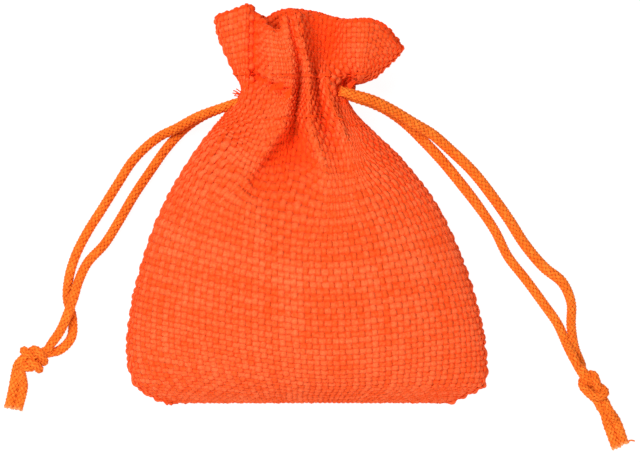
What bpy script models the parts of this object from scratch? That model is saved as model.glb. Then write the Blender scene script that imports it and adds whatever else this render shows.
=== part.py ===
"""A small burlap drawstring sack, lying on its back with its neck drawn shut.

Metres, +Z up. The origin is on the surface that the sack lies on, under the middle of its outline.
+Y runs from the sack's bottom fold to its mouth, +X across its width, and the front faces +Z.
"""

import math
from collections import namedtuple

import bmesh
import bpy
import numpy as np
from mathutils import Vector
from mathutils.bvhtree import BVHTree

MM = 0.001  # the tables below are in millimetres

# ---------------------------------------------------------------- driving sizes, in millimetres
CLOTH = 1.1  # thickness of the woven cloth
NECK_Y = 23.0  # where the drawstrings gather the cloth
RIM_Y = 38.0  # mean height of the heading's edge
CORD = 1.9  # diameter of a drawstring
CORD_STEP = 4.2  # between two points of a drawstring's curve
GAP = 0.4  # kept between pieces that touch, and at least 0.3 once the cords are faceted

COLUMNS = 96  # around the sack, half of them on the front
ROW_STEP = 3.4  # largest distance between rows on the sack's body
NECK_STEP = 1.7  # the same from the neck's lower folds to the rim
INNER_FIRST, INNER_EVERY = 3, 2  # rows of the skin that have one on the inside too

# One row for each level: the outline's left and right ends, the height of the side edges, the
# heights of the front and the back on the middle line, and how full the two halves are.
# A fullness of 1 is an ellipse, and less is squarer.
Level = namedtuple("Level", "y left right edge front back front_full back_full")
LEVELS = (
    Level(-39.9, -28.0, 28.6, 6.2, 7.6, 4.8, 0.90, 0.90),
    Level(-39.3, -30.8, 30.6, 6.4, 10.0, 3.0, 0.90, 0.86),
    Level(-38.0, -33.0, 33.2, 6.8, 13.0, 1.3, 0.88, 0.80),
    Level(-36.2, -34.6, 35.7, 7.3, 15.9, 0.1, 0.86, 0.74),
    Level(-33.0, -35.7, 35.9, 8.0, 19.1, -0.7, 0.84, 0.70),
    Level(-28.0, -36.1, 35.5, 8.8, 21.8, -1.0, 0.84, 0.70),
    Level(-20.0, -35.1, 33.9, 9.6, 23.8, -1.2, 0.84, 0.70),
    Level(-10.4, -32.7, 30.7, 10.0, 24.1, -1.2, 0.84, 0.70),
    Level(-0.8, -29.1, 26.3, 9.9, 22.9, -1.0, 0.84, 0.70),
    Level(8.8, -23.7, 19.1, 9.5, 20.3, -0.4, 0.84, 0.72),
    Level(14.0, -20.0, 13.9, 9.2, 18.6, 0.6, 0.84, 0.76),
    Level(18.4, -16.4, 9.7, 9.0, 17.1, 1.8, 0.84, 0.80),
    Level(21.0, -14.3, 8.4, 8.9, 16.6, 2.6, 0.86, 0.84),
    Level(23.0, -13.5, 8.6, 8.9, 16.2, 2.8, 0.88, 0.84),
    Level(26.0, -14.3, 12.2, 8.7, 16.8, 2.5, 0.98, 0.96),
    Level(30.0, -15.8, 15.8, 8.3, 17.4, 1.8, 1.10, 1.05),
    Level(34.5, -17.3, 18.2, 7.9, 17.5, 1.1, 1.20, 1.10),
    Level(38.0, -18.2, 19.2, 7.5, 17.2, 0.6, 1.25, 1.15),
)

# The edge of the heading, from the left side seam over the front to the right one and back.
RimPoint = namedtuple("RimPoint", "share y")
RIM = (
    RimPoint(0.000, 37.6),
    RimPoint(0.020, 38.3),
    RimPoint(0.045, 39.2),
    RimPoint(0.068, 39.9),
    RimPoint(0.083, 37.8),
    RimPoint(0.105, 36.4),
    RimPoint(0.145, 36.2),
    RimPoint(0.185, 38.2),
    RimPoint(0.220, 38.9),
    RimPoint(0.290, 38.6),
    RimPoint(0.385, 37.8),
    RimPoint(0.438, 37.0),
    RimPoint(0.448, 36.7),
    RimPoint(0.458, 35.7),
    RimPoint(0.469, 34.6),
    RimPoint(0.479, 33.4),
    RimPoint(0.490, 32.7),
    RimPoint(0.500, 32.3),
    RimPoint(0.510, 32.8),
    RimPoint(0.521, 33.6),
    RimPoint(0.531, 34.8),
    RimPoint(0.542, 35.8),
    RimPoint(0.552, 36.8),
    RimPoint(0.620, 37.6),
    RimPoint(0.690, 38.6),
    RimPoint(0.800, 39.2),
    RimPoint(0.860, 38.4),
    RimPoint(0.940, 38.6),
)

# A crease runs up the cloth at one share of its width, and columns of the skin follow it. Its
# height is above the unfolded cloth, so that of a valley is negative. Roundness 0 is a sharp fold.
CreasePoint = namedtuple("CreasePoint", "y x height round")
Crease = namedtuple("Crease", "name column points")
FRONT_CREASES = (
    Crease(
        "valley beside the left flap",
        6,
        (
            CreasePoint(14.0, -15.2, 0.0, 0.6),
            CreasePoint(19.0, -11.9, -0.4, 0.5),
            CreasePoint(22.5, -10.9, -1.2, 0.4),
            CreasePoint(25.0, -10.5, -2.6, 0.3),
            CreasePoint(30.0, -10.5, -3.6, 0.2),
            CreasePoint(38.0, -10.2, -3.2, 0.2),
        ),
    ),
    Crease(
        "rounded lobe",
        14,
        (
            CreasePoint(8.0, -11.6, 0.0, 1.0),
            CreasePoint(13.0, -9.4, 0.8, 1.0),
            CreasePoint(18.0, -7.0, 1.3, 1.0),
            CreasePoint(21.0, -6.2, 0.8, 1.0),
            CreasePoint(23.0, -6.0, 0.3, 1.0),
            CreasePoint(25.0, -5.9, 1.6, 1.0),
            CreasePoint(28.0, -5.8, 2.6, 1.0),
            CreasePoint(34.0, -5.8, 2.8, 1.0),
            CreasePoint(38.0, -5.6, 2.4, 1.0),
        ),
    ),
    Crease(
        "deep valley left of the middle ridge",
        21,
        (
            CreasePoint(3.0, -5.6, 0.0, 0.6),
            CreasePoint(8.5, -4.3, -1.2, 0.4),
            CreasePoint(13.0, -3.2, -3.6, 0.2),
            CreasePoint(18.0, -2.7, -5.0, 0.2),
            CreasePoint(23.0, -2.0, -5.1, 0.2),
            CreasePoint(28.0, -1.5, -4.6, 0.2),
            CreasePoint(33.0, -1.7, -3.0, 0.3),
            CreasePoint(38.0, -1.9, -2.0, 0.4),
        ),
    ),
    Crease(
        "middle ridge",
        28,
        (
            CreasePoint(-8.0, 3.6, 0.0, 1.0),
            CreasePoint(-2.0, 4.9, 0.3, 1.0),
            CreasePoint(3.8, 4.7, 0.8, 0.8),
            CreasePoint(8.8, 2.6, 1.2, 0.6),
            CreasePoint(13.0, 1.2, 1.6, 0.5),
            CreasePoint(18.0, 0.4, 1.8, 0.5),
            CreasePoint(23.0, 0.3, 1.6, 0.5),
            CreasePoint(28.0, -0.2, 1.3, 0.6),
            CreasePoint(33.0, -0.5, 1.2, 0.8),
            CreasePoint(38.0, -0.8, 1.0, 1.0),
        ),
    ),
    Crease(
        "valley right of the middle ridge",
        32,
        (
            CreasePoint(5.0, 7.4, 0.0, 0.6),
            CreasePoint(11.0, 5.6, -1.4, 0.4),
            CreasePoint(16.0, 3.7, -3.6, 0.2),
            CreasePoint(20.0, 2.6, -4.4, 0.2),
            CreasePoint(25.0, 1.9, -4.2, 0.3),
            CreasePoint(29.0, 1.9, -4.0, 0.6),
            CreasePoint(33.0, 2.0, -4.6, 0.9),
            CreasePoint(38.0, 2.2, -4.8, 1.0),
        ),
    ),
    Crease(
        "right ridge, sinking into the heading's hollow",
        35,
        (
            CreasePoint(4.0, 9.8, 0.0, 0.8),
            CreasePoint(10.0, 8.9, 0.6, 0.7),
            CreasePoint(14.8, 7.2, 1.4, 0.6),
            CreasePoint(18.8, 5.3, 1.8, 0.6),
            CreasePoint(22.0, 3.8, 1.6, 0.6),
            CreasePoint(24.8, 3.1, 0.6, 0.7),
            CreasePoint(27.0, 3.3, -1.6, 0.8),
            CreasePoint(30.0, 3.8, -4.2, 0.9),
            CreasePoint(34.0, 4.2, -5.6, 1.0),
            CreasePoint(38.0, 4.6, -6.0, 1.0),
        ),
    ),
    Crease(
        "pocket above the right opening",
        38,
        (
            CreasePoint(10.0, 10.2, 0.0, 0.6),
            CreasePoint(15.0, 8.4, -0.6, 0.4),
            CreasePoint(18.0, 7.2, -1.8, 0.3),
            CreasePoint(21.5, 5.9, -3.2, 0.3),
            CreasePoint(24.0, 5.3, -3.2, 0.4),
            CreasePoint(27.0, 5.5, -3.2, 0.6),
            CreasePoint(30.0, 6.0, -3.2, 0.8),
            CreasePoint(34.0, 6.6, -3.6, 0.9),
            CreasePoint(38.0, 7.0, -3.6, 1.0),
        ),
    ),
    Crease(
        "fold of the right flap",
        41,
        (
            CreasePoint(14.0, 9.8, 0.0, 0.7),
            CreasePoint(19.0, 8.0, 0.4, 0.6),
            CreasePoint(22.0, 7.3, 0.6, 0.5),
            CreasePoint(25.0, 8.4, 0.9, 0.5),
            CreasePoint(29.0, 9.2, 1.2, 0.5),
            CreasePoint(34.0, 9.2, 1.4, 0.6),
            CreasePoint(38.0, 9.0, 1.3, 0.7),
        ),
    ),
)
BACK_CREASES = (
    Crease(
        "left valley of the back",
        10,
        (
            CreasePoint(7.0, -14.2, 0.0, 0.6),
            CreasePoint(14.0, -11.4, 1.2, 0.4),
            CreasePoint(23.0, -10.2, 1.1, 0.5),
            CreasePoint(30.0, -9.6, 2.2, 0.4),
            CreasePoint(38.0, -11.0, 1.8, 0.5),
        ),
    ),
    Crease(
        "left ridge of the back",
        17,
        (
            CreasePoint(7.0, -8.6, 0.0, 0.9),
            CreasePoint(23.0, -5.6, -0.3, 0.8),
            CreasePoint(38.0, -5.8, -0.2, 0.9),
        ),
    ),
    Crease(
        "middle valley of the back",
        24,
        (
            CreasePoint(4.0, -2.4, 0.0, 0.6),
            CreasePoint(13.0, -2.6, 1.8, 0.4),
            CreasePoint(23.0, -2.0, 2.6, 0.3),
            CreasePoint(30.0, -1.6, 2.2, 0.4),
            CreasePoint(38.0, -0.8, 1.4, 0.5),
        ),
    ),
    Crease(
        "right ridge of the back",
        31,
        (
            CreasePoint(7.0, 4.6, 0.0, 0.9),
            CreasePoint(23.0, 0.6, -0.3, 0.8),
            CreasePoint(38.0, 4.8, -0.2, 0.9),
        ),
    ),
    Crease(
        "right valley of the back",
        38,
        (
            CreasePoint(7.0, 10.6, 0.0, 0.6),
            CreasePoint(15.0, 6.4, 1.6, 0.4),
            CreasePoint(23.0, 3.9, 2.2, 0.3),
            CreasePoint(30.0, 7.6, 2.0, 0.4),
            CreasePoint(38.0, 10.4, 1.6, 0.5),
        ),
    ),
)

# A swell is a soft rise or hollow of the front, too broad to pull the cloth's threads after it.
SwellPoint = namedtuple("SwellPoint", "y x half height")
SWELLS = (
    (
        SwellPoint(-13.0, -3.4, 9.0, 0.0),
        SwellPoint(-8.0, -3.4, 9.4, -0.6),
        SwellPoint(-2.0, -3.6, 9.6, -1.7),
        SwellPoint(4.0, -3.6, 8.8, -2.9),
        SwellPoint(8.6, -3.4, 6.6, -3.2),
        SwellPoint(13.0, -2.8, 4.4, -1.8),
        SwellPoint(17.0, -2.4, 3.2, 0.0),
    ),
    (
        SwellPoint(-6.0, -14.0, 4.0, 0.0),
        SwellPoint(2.0, -14.6, 4.2, 0.5),
        SwellPoint(9.0, -12.2, 3.6, 0.9),
        SwellPoint(15.0, -9.0, 3.0, 0.0),
    ),
)

# ---------------------------------------------------------------- smooth tables


def smooth_table(at, rows):
    """Rows of numbers read at the places at, on a curve that keeps within its neighbours' values.

    The first number of each row is its place. Slopes are the harmonic means of those beside them,
    so the curve never overshoots a row.
    """
    table = np.array(rows, float)
    place, values = table[:, 0], table[:, 1:]
    slope = np.diff(values, axis=0) / np.diff(place)[:, None]
    tangent = np.zeros_like(values)
    same_way = slope[:-1] * slope[1:] > 0
    mean = 2 * slope[:-1] * slope[1:] / np.where(same_way, slope[:-1] + slope[1:], 1)
    tangent[1:-1] = np.where(same_way, mean, 0)
    tangent[0], tangent[-1] = slope[0], slope[-1]
    at = np.clip(np.asarray(at, float), place[0], place[-1])
    i = np.clip(np.searchsorted(place, at, side="right") - 1, 0, len(place) - 2)
    h = (place[i + 1] - place[i])[..., None]
    t = (at - place[i])[..., None] / h
    return (
        (1 + 2 * t) * (1 - t) ** 2 * values[i]
        + t * (1 - t) ** 2 * h * tangent[i]
        + t**2 * (3 - 2 * t) * values[i + 1]
        + t**2 * (t - 1) * h * tangent[i + 1]
    )


# ---------------------------------------------------------------- the sack's skin
FINE = 16  # points between two columns, before the columns are spaced evenly
START_SPAN = 9.0  # a crease leaves its own thread's course over this height


def crease_at(crease, level, oval_x):
    """A crease's place along a half oval, as a share of its length, its height and roundness."""
    natural = crease.column / (COLUMNS // 2)
    start = crease.points[0].y
    x, height, roundness = smooth_table(level, crease.points)
    own = np.interp(x, oval_x, np.linspace(0, 1, len(oval_x)))
    pull = np.clip((level - start + START_SPAN) / START_SPAN, 0, 1)
    pull = pull * pull * (3 - 2 * pull)
    return natural + (own - natural) * pull, height if level > start else 0.0, roundness


def half_oval(level, front):
    """The unfolded front or back at one level, as evenly spaced points from left to right."""
    left, right, edge, top, bottom, front_full, back_full = smooth_table(level, LEVELS)
    angle = np.linspace(0, math.pi, 721)
    x = (left + right) / 2 - (right - left) / 2 * np.cos(angle)
    if front:
        z = edge + (top - edge) * np.sin(angle) ** front_full
    else:
        z = edge - (edge - bottom) * np.sin(angle) ** back_full
    return evenly(x, z, 721)


def evenly(x, z, count):
    """A line of points read again at count even distances along it."""
    along = np.concatenate([[0], np.cumsum(np.hypot(np.diff(x), np.diff(z)))])
    at = np.linspace(0, along[-1], count)
    return np.interp(at, along, x), np.interp(at, along, z)


def half_section(level, front):
    """The columns of the front or back at one level, folded, from the left side to the right."""
    oval_x, oval_z = half_oval(level, front)
    half = COLUMNS // 2
    stations = [(0, 0.0, 0.0, 1.0)]
    for crease in FRONT_CREASES if front else BACK_CREASES:
        stations.append((crease.column, *crease_at(crease, level, oval_x)))
    stations.append((half, 1.0, 0.0, 1.0))
    xs, zs = [], []
    share = np.linspace(0, 1, len(oval_x))
    for (c0, p0, h0, r0), (c1, p1, h1, r1) in zip(stations, stations[1:]):
        t = np.linspace(0, 1, (c1 - c0) * FINE + 1)
        place = p0 + (p1 - p0) * t
        x, z = np.interp(place, share, oval_x), np.interp(place, share, oval_z)
        m0, m1 = 1.7 * (1 - r0), 1.7 * (1 - r1)
        blend = t * t * (3 - 2 * t) + m0 * t * (1 - t) ** 2 + m1 * t * t * (t - 1)
        z = z + h0 + (h1 - h0) * blend
        if front:
            for swell in SWELLS:
                centre, reach, height = smooth_table(level, swell)
                if swell[0].y < level < swell[-1].y:
                    away = np.clip(np.abs(x - centre) / reach, 0, 1)
                    z = z + height * (1 - away**2.4) ** 2
        else:
            z = np.maximum(z, 0.0)
        x, z = evenly(x, z, c1 - c0 + 1)
        xs.append(x[:-1])
        zs.append(z[:-1])
    xs.append(x[-1:])
    zs.append(z[-1:])
    return np.concatenate(xs), np.concatenate(zs)


def ring(level):
    """One level's closed row of points: over the front from left to right, and back behind."""
    front_x, front_z = half_section(level, True)
    back_x, back_z = half_section(level, False)
    x = np.concatenate([front_x[:-1], back_x[::-1][:-1]])
    z = np.concatenate([front_z[:-1], back_z[::-1][:-1]])
    share = np.arange(COLUMNS) / COLUMNS
    rim = smooth_table(share, RIM + (RimPoint(1.0, RIM[0].y),))[:, 0]
    rise = max(level - NECK_Y, 0) / (RIM_Y - NECK_Y)
    y = min(level, NECK_Y) + rise * (rim - NECK_Y)
    return np.stack([x, np.broadcast_to(y, x.shape), z], axis=1) * MM


def row_levels():
    """The levels of the skin's rows, closer together through the neck and at the bottom fold."""
    levels = [LEVELS[0].y]
    for low, high in zip(LEVELS, LEVELS[1:]):
        step = NECK_STEP if low.y > 0 else ROW_STEP
        count = math.ceil((high.y - low.y) / step - 1e-6)
        levels += list(np.linspace(low.y, high.y, count + 1)[1:])
    return levels


def link(name, mesh):
    """Puts an object of a mesh or a curve in the scene."""
    obj = bpy.data.objects.new(name, mesh)
    bpy.context.scene.collection.objects.link(obj)
    return obj


def sleeve_faces(rows, offset, outward):
    """The faces of a sleeve of rows, closed at its first row by faces from the front to the back."""
    faces = []
    for j in range(rows - 1):
        a, b = offset + j * COLUMNS, offset + (j + 1) * COLUMNS
        for i in range(COLUMNS):
            k = (i + 1) % COLUMNS
            faces.append((a + i, a + k, b + k, b + i))
    for i in range(COLUMNS // 2):
        back, behind = (COLUMNS - i) % COLUMNS, COLUMNS - i - 1
        faces.append((offset + i, offset + back, offset + behind, offset + i + 1))
    faces = [tuple(dict.fromkeys(face)) for face in faces]
    return faces if outward else [face[::-1] for face in faces]


PASSAGE_X, PASSAGE_Z = -7.0 * MM, 9.4 * MM  # the open way through the neck passes here


def ring_middle(points):
    """Where a row's inside is measured from: its own middle, or the way through the neck."""
    low, high = points[:, [0, 2]].min(0), points[:, [0, 2]].max(0)
    x, z = (low + high) / 2
    share = float(np.clip((points[0, 1] / MM) / NECK_Y, 0, 1))
    share = share * share * (3 - 2 * share)
    return x + (PASSAGE_X - x) * share, z + (PASSAGE_Z - z) * share


def inside_points(outer, kept):
    """The inner skin's points: going out from the middle, each stops a cloth's thickness short.

    Where a fold is pressed shut its two layers lie together, and the inner skin passes below it.
    """
    skin = BVHTree.FromPolygons(
        [Vector(p) for p in outer.reshape(-1, 3)], sleeve_faces(len(outer), 0, True)
    )
    inner = []
    for j in kept:
        middle_x, middle_z = ring_middle(outer[j])
        for point in outer[j]:
            centre, edge = Vector((middle_x, point[1], middle_z)), Vector(point)
            low, step = 0.0, 0.04
            for _ in range(80):
                clear = skin.find_nearest(centre.lerp(edge, low + step))[3] >= CLOTH * MM
                if clear and low + step < 1:
                    low += step
                else:
                    step /= 2
                if step < 0.001:
                    break
            inner.append(centre.lerp(edge, low))
    return inner


def build_sack():
    """The whole sack as one closed solid: outer skin, inner skin and the rim that joins them."""
    levels = row_levels()
    outer = np.array([ring(level) for level in levels])
    kept = sorted(set(range(INNER_FIRST, len(levels), INNER_EVERY)) | {len(levels) - 1})
    points = [Vector(p) for p in outer.reshape(-1, 3)] + inside_points(outer, kept)
    offset = len(levels) * COLUMNS
    faces = sleeve_faces(len(levels), 0, True) + sleeve_faces(len(kept), offset, False)
    top, under = (len(levels) - 1) * COLUMNS, offset + (len(kept) - 1) * COLUMNS
    for i in range(COLUMNS):
        k = (i + 1) % COLUMNS
        faces.append((top + i, top + k, under + k, under + i))
    mesh = bpy.data.meshes.new("sack")
    mesh.from_pydata([tuple(p) for p in points], [], faces)
    mesh.update()
    mesh.shade_smooth()
    return link("sack", mesh)


# ---------------------------------------------------------------- drawstrings

# Each strand runs from its opening in the neck to its knot, and each tail from its knot to a cut
# end. A route passes through these points. Strands that cross are one above the other.
RoutePoint = namedtuple("RoutePoint", "x y z")
Strand = namedtuple("Strand", "name route")
STRANDS = (
    Strand(
        "strand_left_outer",
        (
            RoutePoint(-13.6, 20.9, 10.4),
            RoutePoint(-17.4, 20.0, 9.4),
            RoutePoint(-22.4, 18.2, 6.3),
            RoutePoint(-26.6, 15.9, 3.4),
            RoutePoint(-29.7, 13.5, 1.4),
            RoutePoint(-34.9, 8.8, 1.0),
            RoutePoint(-38.3, 4.0, 1.0),
            RoutePoint(-41.3, -0.8, 1.0),
            RoutePoint(-44.1, -5.6, 1.0),
            RoutePoint(-46.7, -10.4, 1.0),
            RoutePoint(-47.9, -14.6, 1.0),
            RoutePoint(-48.0, -18.8, 1.0),
            RoutePoint(-47.2, -23.0, 1.0),
            RoutePoint(-47.6, -26.6, 1.1),
            RoutePoint(-50.2, -29.2, 1.7),
            RoutePoint(-54.9, -30.6, 2.4),
        ),
    ),
    Strand(
        "strand_left_inner",
        (
            RoutePoint(-13.6, 20.7, 8.0),
            RoutePoint(-17.4, 19.6, 6.8),
            RoutePoint(-21.8, 17.7, 3.6),
            RoutePoint(-25.0, 15.2, 1.4),
            RoutePoint(-27.4, 12.4, 1.0),
            RoutePoint(-31.9, 6.4, 1.0),
            RoutePoint(-35.1, 1.6, 1.0),
            RoutePoint(-37.9, -3.2, 1.0),
            RoutePoint(-40.7, -8.0, 1.0),
            RoutePoint(-43.9, -12.0, 1.0),
            RoutePoint(-45.4, -15.6, 1.4),
            RoutePoint(-46.6, -19.2, 2.9),
            RoutePoint(-48.0, -21.8, 3.3),
            RoutePoint(-50.0, -24.8, 2.6),
            RoutePoint(-51.9, -27.4, 2.6),
            RoutePoint(-54.9, -30.6, 2.6),
        ),
    ),
    Strand(
        "strand_right_outer",
        (
            RoutePoint(6.6, 23.0, 13.6),
            RoutePoint(9.6, 22.6, 12.9),
            RoutePoint(13.0, 21.6, 11.2),
            RoutePoint(17.0, 19.7, 8.4),
            RoutePoint(21.2, 16.6, 5.3),
            RoutePoint(25.2, 13.6, 2.6),
            RoutePoint(28.3, 11.0, 1.1),
            RoutePoint(33.1, 6.4, 1.0),
            RoutePoint(36.9, 1.6, 1.0),
            RoutePoint(40.3, -3.2, 1.0),
            RoutePoint(43.5, -8.0, 1.0),
            RoutePoint(47.5, -12.8, 1.0),
            RoutePoint(50.6, -15.9, 1.0),
            RoutePoint(52.4, -19.8, 1.0),
            RoutePoint(52.6, -24.2, 1.0),
            RoutePoint(53.6, -28.4, 1.0),
            RoutePoint(55.6, -32.2, 1.4),
            RoutePoint(57.3, -36.4, 2.0),
        ),
    ),
    Strand(
        "strand_right_inner",
        (
            RoutePoint(7.0, 22.7, 11.0),
            RoutePoint(9.8, 22.0, 10.5),
            RoutePoint(12.8, 21.0, 8.2),
            RoutePoint(16.4, 19.1, 5.2),
            RoutePoint(20.4, 15.9, 2.4),
            RoutePoint(23.0, 13.0, 1.2),
            RoutePoint(26.5, 8.8, 1.0),
            RoutePoint(30.5, 4.0, 1.0),
            RoutePoint(34.3, -0.8, 1.0),
            RoutePoint(37.3, -5.6, 1.0),
            RoutePoint(39.9, -10.4, 1.0),
            RoutePoint(43.7, -15.2, 1.0),
            RoutePoint(47.1, -20.0, 1.0),
            RoutePoint(49.9, -24.2, 1.0),
            RoutePoint(51.0, -28.4, 1.6),
            RoutePoint(53.0, -32.5, 3.7),
            RoutePoint(57.3, -36.4, 3.6),
        ),
    ),
    Strand(
        "tail_left_long",
        (
            RoutePoint(-54.9, -30.6, 2.0),
            RoutePoint(-56.6, -33.4, 1.4),
            RoutePoint(-57.8, -36.4, 1.0),
            RoutePoint(-59.6, -40.6, 1.0),
        ),
    ),
    Strand(
        "tail_left_short",
        (
            RoutePoint(-54.9, -30.6, 3.0),
            RoutePoint(-54.2, -33.6, 1.8),
            RoutePoint(-55.2, -36.8, 1.0),
            RoutePoint(-57.2, -41.2, 1.0),
        ),
    ),
    Strand(
        "tail_right_long",
        (
            RoutePoint(57.3, -36.4, 2.0),
            RoutePoint(59.0, -40.4, 1.3),
            RoutePoint(60.6, -44.6, 1.0),
            RoutePoint(62.0, -49.0, 1.0),
        ),
    ),
    Strand(
        "tail_right_short",
        (
            RoutePoint(57.3, -36.4, 3.0),
            RoutePoint(61.2, -39.8, 1.8),
            RoutePoint(63.3, -43.4, 1.0),
            RoutePoint(64.7, -47.8, 1.0),
        ),
    ),
)

# The overhand knots: where each lies, its sizes along and across the cord, and its turn.
Knot = namedtuple("Knot", "name x y z length width height turn")
KNOTS = (
    Knot("knot_left", -54.9, -30.7, 2.7, 7.2, 6.4, 5.6, 28.0),
    Knot("knot_right", 57.3, -36.4, 2.7, 8.0, 6.8, 5.6, -62.0),
)


def smooth_route(route):
    """Close points on a smooth curve through a route's points, none of it below the surface."""
    points = np.array(route, float)
    along = np.concatenate([[0], np.cumsum(np.linalg.norm(np.diff(points, axis=0), axis=1))])
    tangent = np.gradient(points, along, axis=0)
    dense = np.linspace(0, along[-1], 400)
    i = np.clip(np.searchsorted(along, dense, side="right") - 1, 0, len(along) - 2)
    h = (along[i + 1] - along[i])[:, None]
    t = (dense - along[i])[:, None] / h
    curve = (
        (1 + 2 * t) * (1 - t) ** 2 * points[i]
        + t * (1 - t) ** 2 * h * tangent[i]
        + t**2 * (3 - 2 * t) * points[i + 1]
        + t**2 * (t - 1) * h * tangent[i + 1]
    )
    curve[:, 2] = np.maximum(curve[:, 2], CORD / 2)
    return curve


def tree_of(solid):
    """The faces of a placed solid, for measuring how near to it a point is."""
    mesh = bmesh.new()
    mesh.from_mesh(solid.data)
    mesh.transform(solid.matrix_basis)
    tree = BVHTree.FromBMesh(mesh)
    mesh.free()
    return tree


def end_is_clear(place, along, trees):
    """Whether a cord cut off square at a place stays a gap away from each solid."""
    side = along.cross(Vector((0, 0, 1))).normalized()
    up = side.cross(along).normalized()
    for turn in np.linspace(0, 2 * math.pi, 12, endpoint=False):
        edge = place + (side * math.cos(turn) + up * math.sin(turn)) * CORD / 2
        if any(tree.find_nearest(edge * MM)[3] < GAP * MM for tree in trees):
            return False
    return True


def between_solids(curve, trees):
    """The middle part of a curve, from where it is clear of one solid to where it meets another."""
    places = [Vector(p) for p in curve]
    first, last = 0, len(places) - 1
    for i in range(len(places) // 2, 0, -1):
        if not end_is_clear(places[i], places[i + 1] - places[i - 1], trees):
            first = i + 1
            break
    for i in range(len(places) // 2, len(places) - 1):
        if not end_is_clear(places[i], places[i + 1] - places[i - 1], trees):
            last = i - 1
            break
    return curve[first : last + 1]


def build_strand(strand, trees):
    """One length of drawstring, as a closed tube that stops short of what it meets."""
    curve = between_solids(smooth_route(strand.route), trees)
    along = np.concatenate([[0], np.cumsum(np.linalg.norm(np.diff(curve, axis=0), axis=1))])
    at = np.linspace(0, along[-1], max(3, round(along[-1] / CORD_STEP) + 1))
    line = np.stack([np.interp(at, along, curve[:, k]) for k in range(3)], axis=1) * MM
    data = bpy.data.curves.new(strand.name, "CURVE")
    data.dimensions = "3D"
    data.bevel_depth = CORD / 2 * MM
    data.bevel_resolution = 2
    data.use_fill_caps = True
    spline = data.splines.new("POLY")
    spline.points.add(len(line) - 1)
    for point, place in zip(spline.points, line):
        point.co = (*place, 1.0)
    return link(strand.name, data)


def build_knot(knot):
    """An overhand knot in a doubled cord: its turns stand out of one closed lump."""
    around = np.linspace(0, 2 * math.pi, 160, endpoint=False)
    turns = np.stack(
        [
            np.sin(around) + 2 * np.sin(2 * around),
            np.cos(around) - 2 * np.cos(2 * around),
            -1.5 * np.sin(3 * around),
        ],
        axis=1,
    )
    size = np.array([knot.length, knot.width, knot.height])
    turns *= (size / 2 - CORD / 2) / np.abs(turns).max(0)
    mesh = bmesh.new()
    bmesh.ops.create_icosphere(mesh, subdivisions=4, radius=1.0)
    ways = np.array([vert.co for vert in mesh.verts])
    core = 1 / np.linalg.norm(ways / (size / 2 - CORD * 0.55), axis=1)
    reach = core.copy()
    for out in np.linspace(size.max() / 2 + 0.2, 0.5, 90):
        away = np.linalg.norm(ways[:, None] * out - turns[None], axis=2).min(1)
        reach = np.where((away <= CORD / 2) & (reach < out), out, reach)
    for _ in range(2):
        mean = [np.mean([reach[e.other_vert(v).index] for e in v.link_edges]) for v in mesh.verts]
        reach = (reach + np.array(mean)) / 2
    for vert, out in zip(mesh.verts, reach):
        vert.co *= out * MM
        vert.co.z = max(vert.co.z, -knot.z * MM)
    data = bpy.data.meshes.new(knot.name)
    mesh.to_mesh(data)
    mesh.free()
    data.shade_smooth()
    lump = link(knot.name, data)
    lump.location = (knot.x * MM, knot.y * MM, knot.z * MM)
    lump.rotation_euler.z = math.radians(knot.turn)
    return lump


# ---------------------------------------------------------------- materials

Finish = namedtuple("Finish", "red green blue roughness")
CLOTH_FINISH = Finish(0.95, 0.122, 0.028, 0.9)
CORD_FINISH = Finish(0.94, 0.196, 0.022, 0.8)


def paint(obj, finish):
    """Gives an object a Principled material of its own."""
    material = bpy.data.materials.new(obj.name)
    material.use_nodes = True
    shader = material.node_tree.nodes["Principled BSDF"]
    shader.inputs["Base Color"].default_value = (finish.red, finish.green, finish.blue, 1.0)
    shader.inputs["Roughness"].default_value = finish.roughness
    obj.data.materials.append(material)


def main():
    for obj in list(bpy.data.objects):
        bpy.data.objects.remove(obj)
    sack = build_sack()
    paint(sack, CLOTH_FINISH)
    knots = [build_knot(knot) for knot in KNOTS]
    trees = [tree_of(solid) for solid in (sack, *knots)]
    strands = [build_strand(strand, trees) for strand in STRANDS]
    for cord_piece in (*knots, *strands):
        paint(cord_piece, CORD_FINISH)


main()
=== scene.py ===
"""A small drawstring sack of coarse orange weave, lying on its back with its neck drawn shut.

Metres, +Z up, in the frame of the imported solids: +Y runs from the sack's bottom fold to its
mouth, +X across its width, and the front faces +Z. The cloth is made of its own threads, laid
over and under each other on the draped form, with a thin lining sheet behind them.
"""

import logging
import math
from collections.abc import Sequence
from dataclasses import dataclass
from enum import Enum

import bpy
import numpy as np
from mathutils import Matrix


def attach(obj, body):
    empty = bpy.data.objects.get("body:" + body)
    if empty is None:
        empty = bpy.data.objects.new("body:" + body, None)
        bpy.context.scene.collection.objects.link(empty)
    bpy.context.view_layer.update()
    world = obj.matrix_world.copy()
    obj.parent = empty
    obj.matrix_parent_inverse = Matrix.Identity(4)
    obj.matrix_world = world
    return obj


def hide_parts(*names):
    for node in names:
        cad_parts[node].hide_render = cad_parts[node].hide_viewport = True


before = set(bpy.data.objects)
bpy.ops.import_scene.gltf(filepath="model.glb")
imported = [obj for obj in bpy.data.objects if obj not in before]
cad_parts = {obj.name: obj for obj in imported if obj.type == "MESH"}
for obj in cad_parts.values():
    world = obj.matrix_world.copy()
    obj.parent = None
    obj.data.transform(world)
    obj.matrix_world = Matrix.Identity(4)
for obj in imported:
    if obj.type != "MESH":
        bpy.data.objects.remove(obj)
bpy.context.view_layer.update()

LOG = logging.getLogger("sack")
MM = 0.001

Line = dict[str, np.ndarray]  # a line's points and its other values, by name
Table = Sequence[Sequence[float]]
Colour = tuple[float, float, float]  # linear red, green and blue


@dataclass(frozen=True)
class Crease:
    """A fold line of the cloth.

    Args:
        column: the column of threads that it follows, of 48 across the front or the back.
        points: rows of y, x, height above the unfolded cloth, and roundness, 0 for a sharp fold.
    """

    column: int
    points: Table


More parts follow.
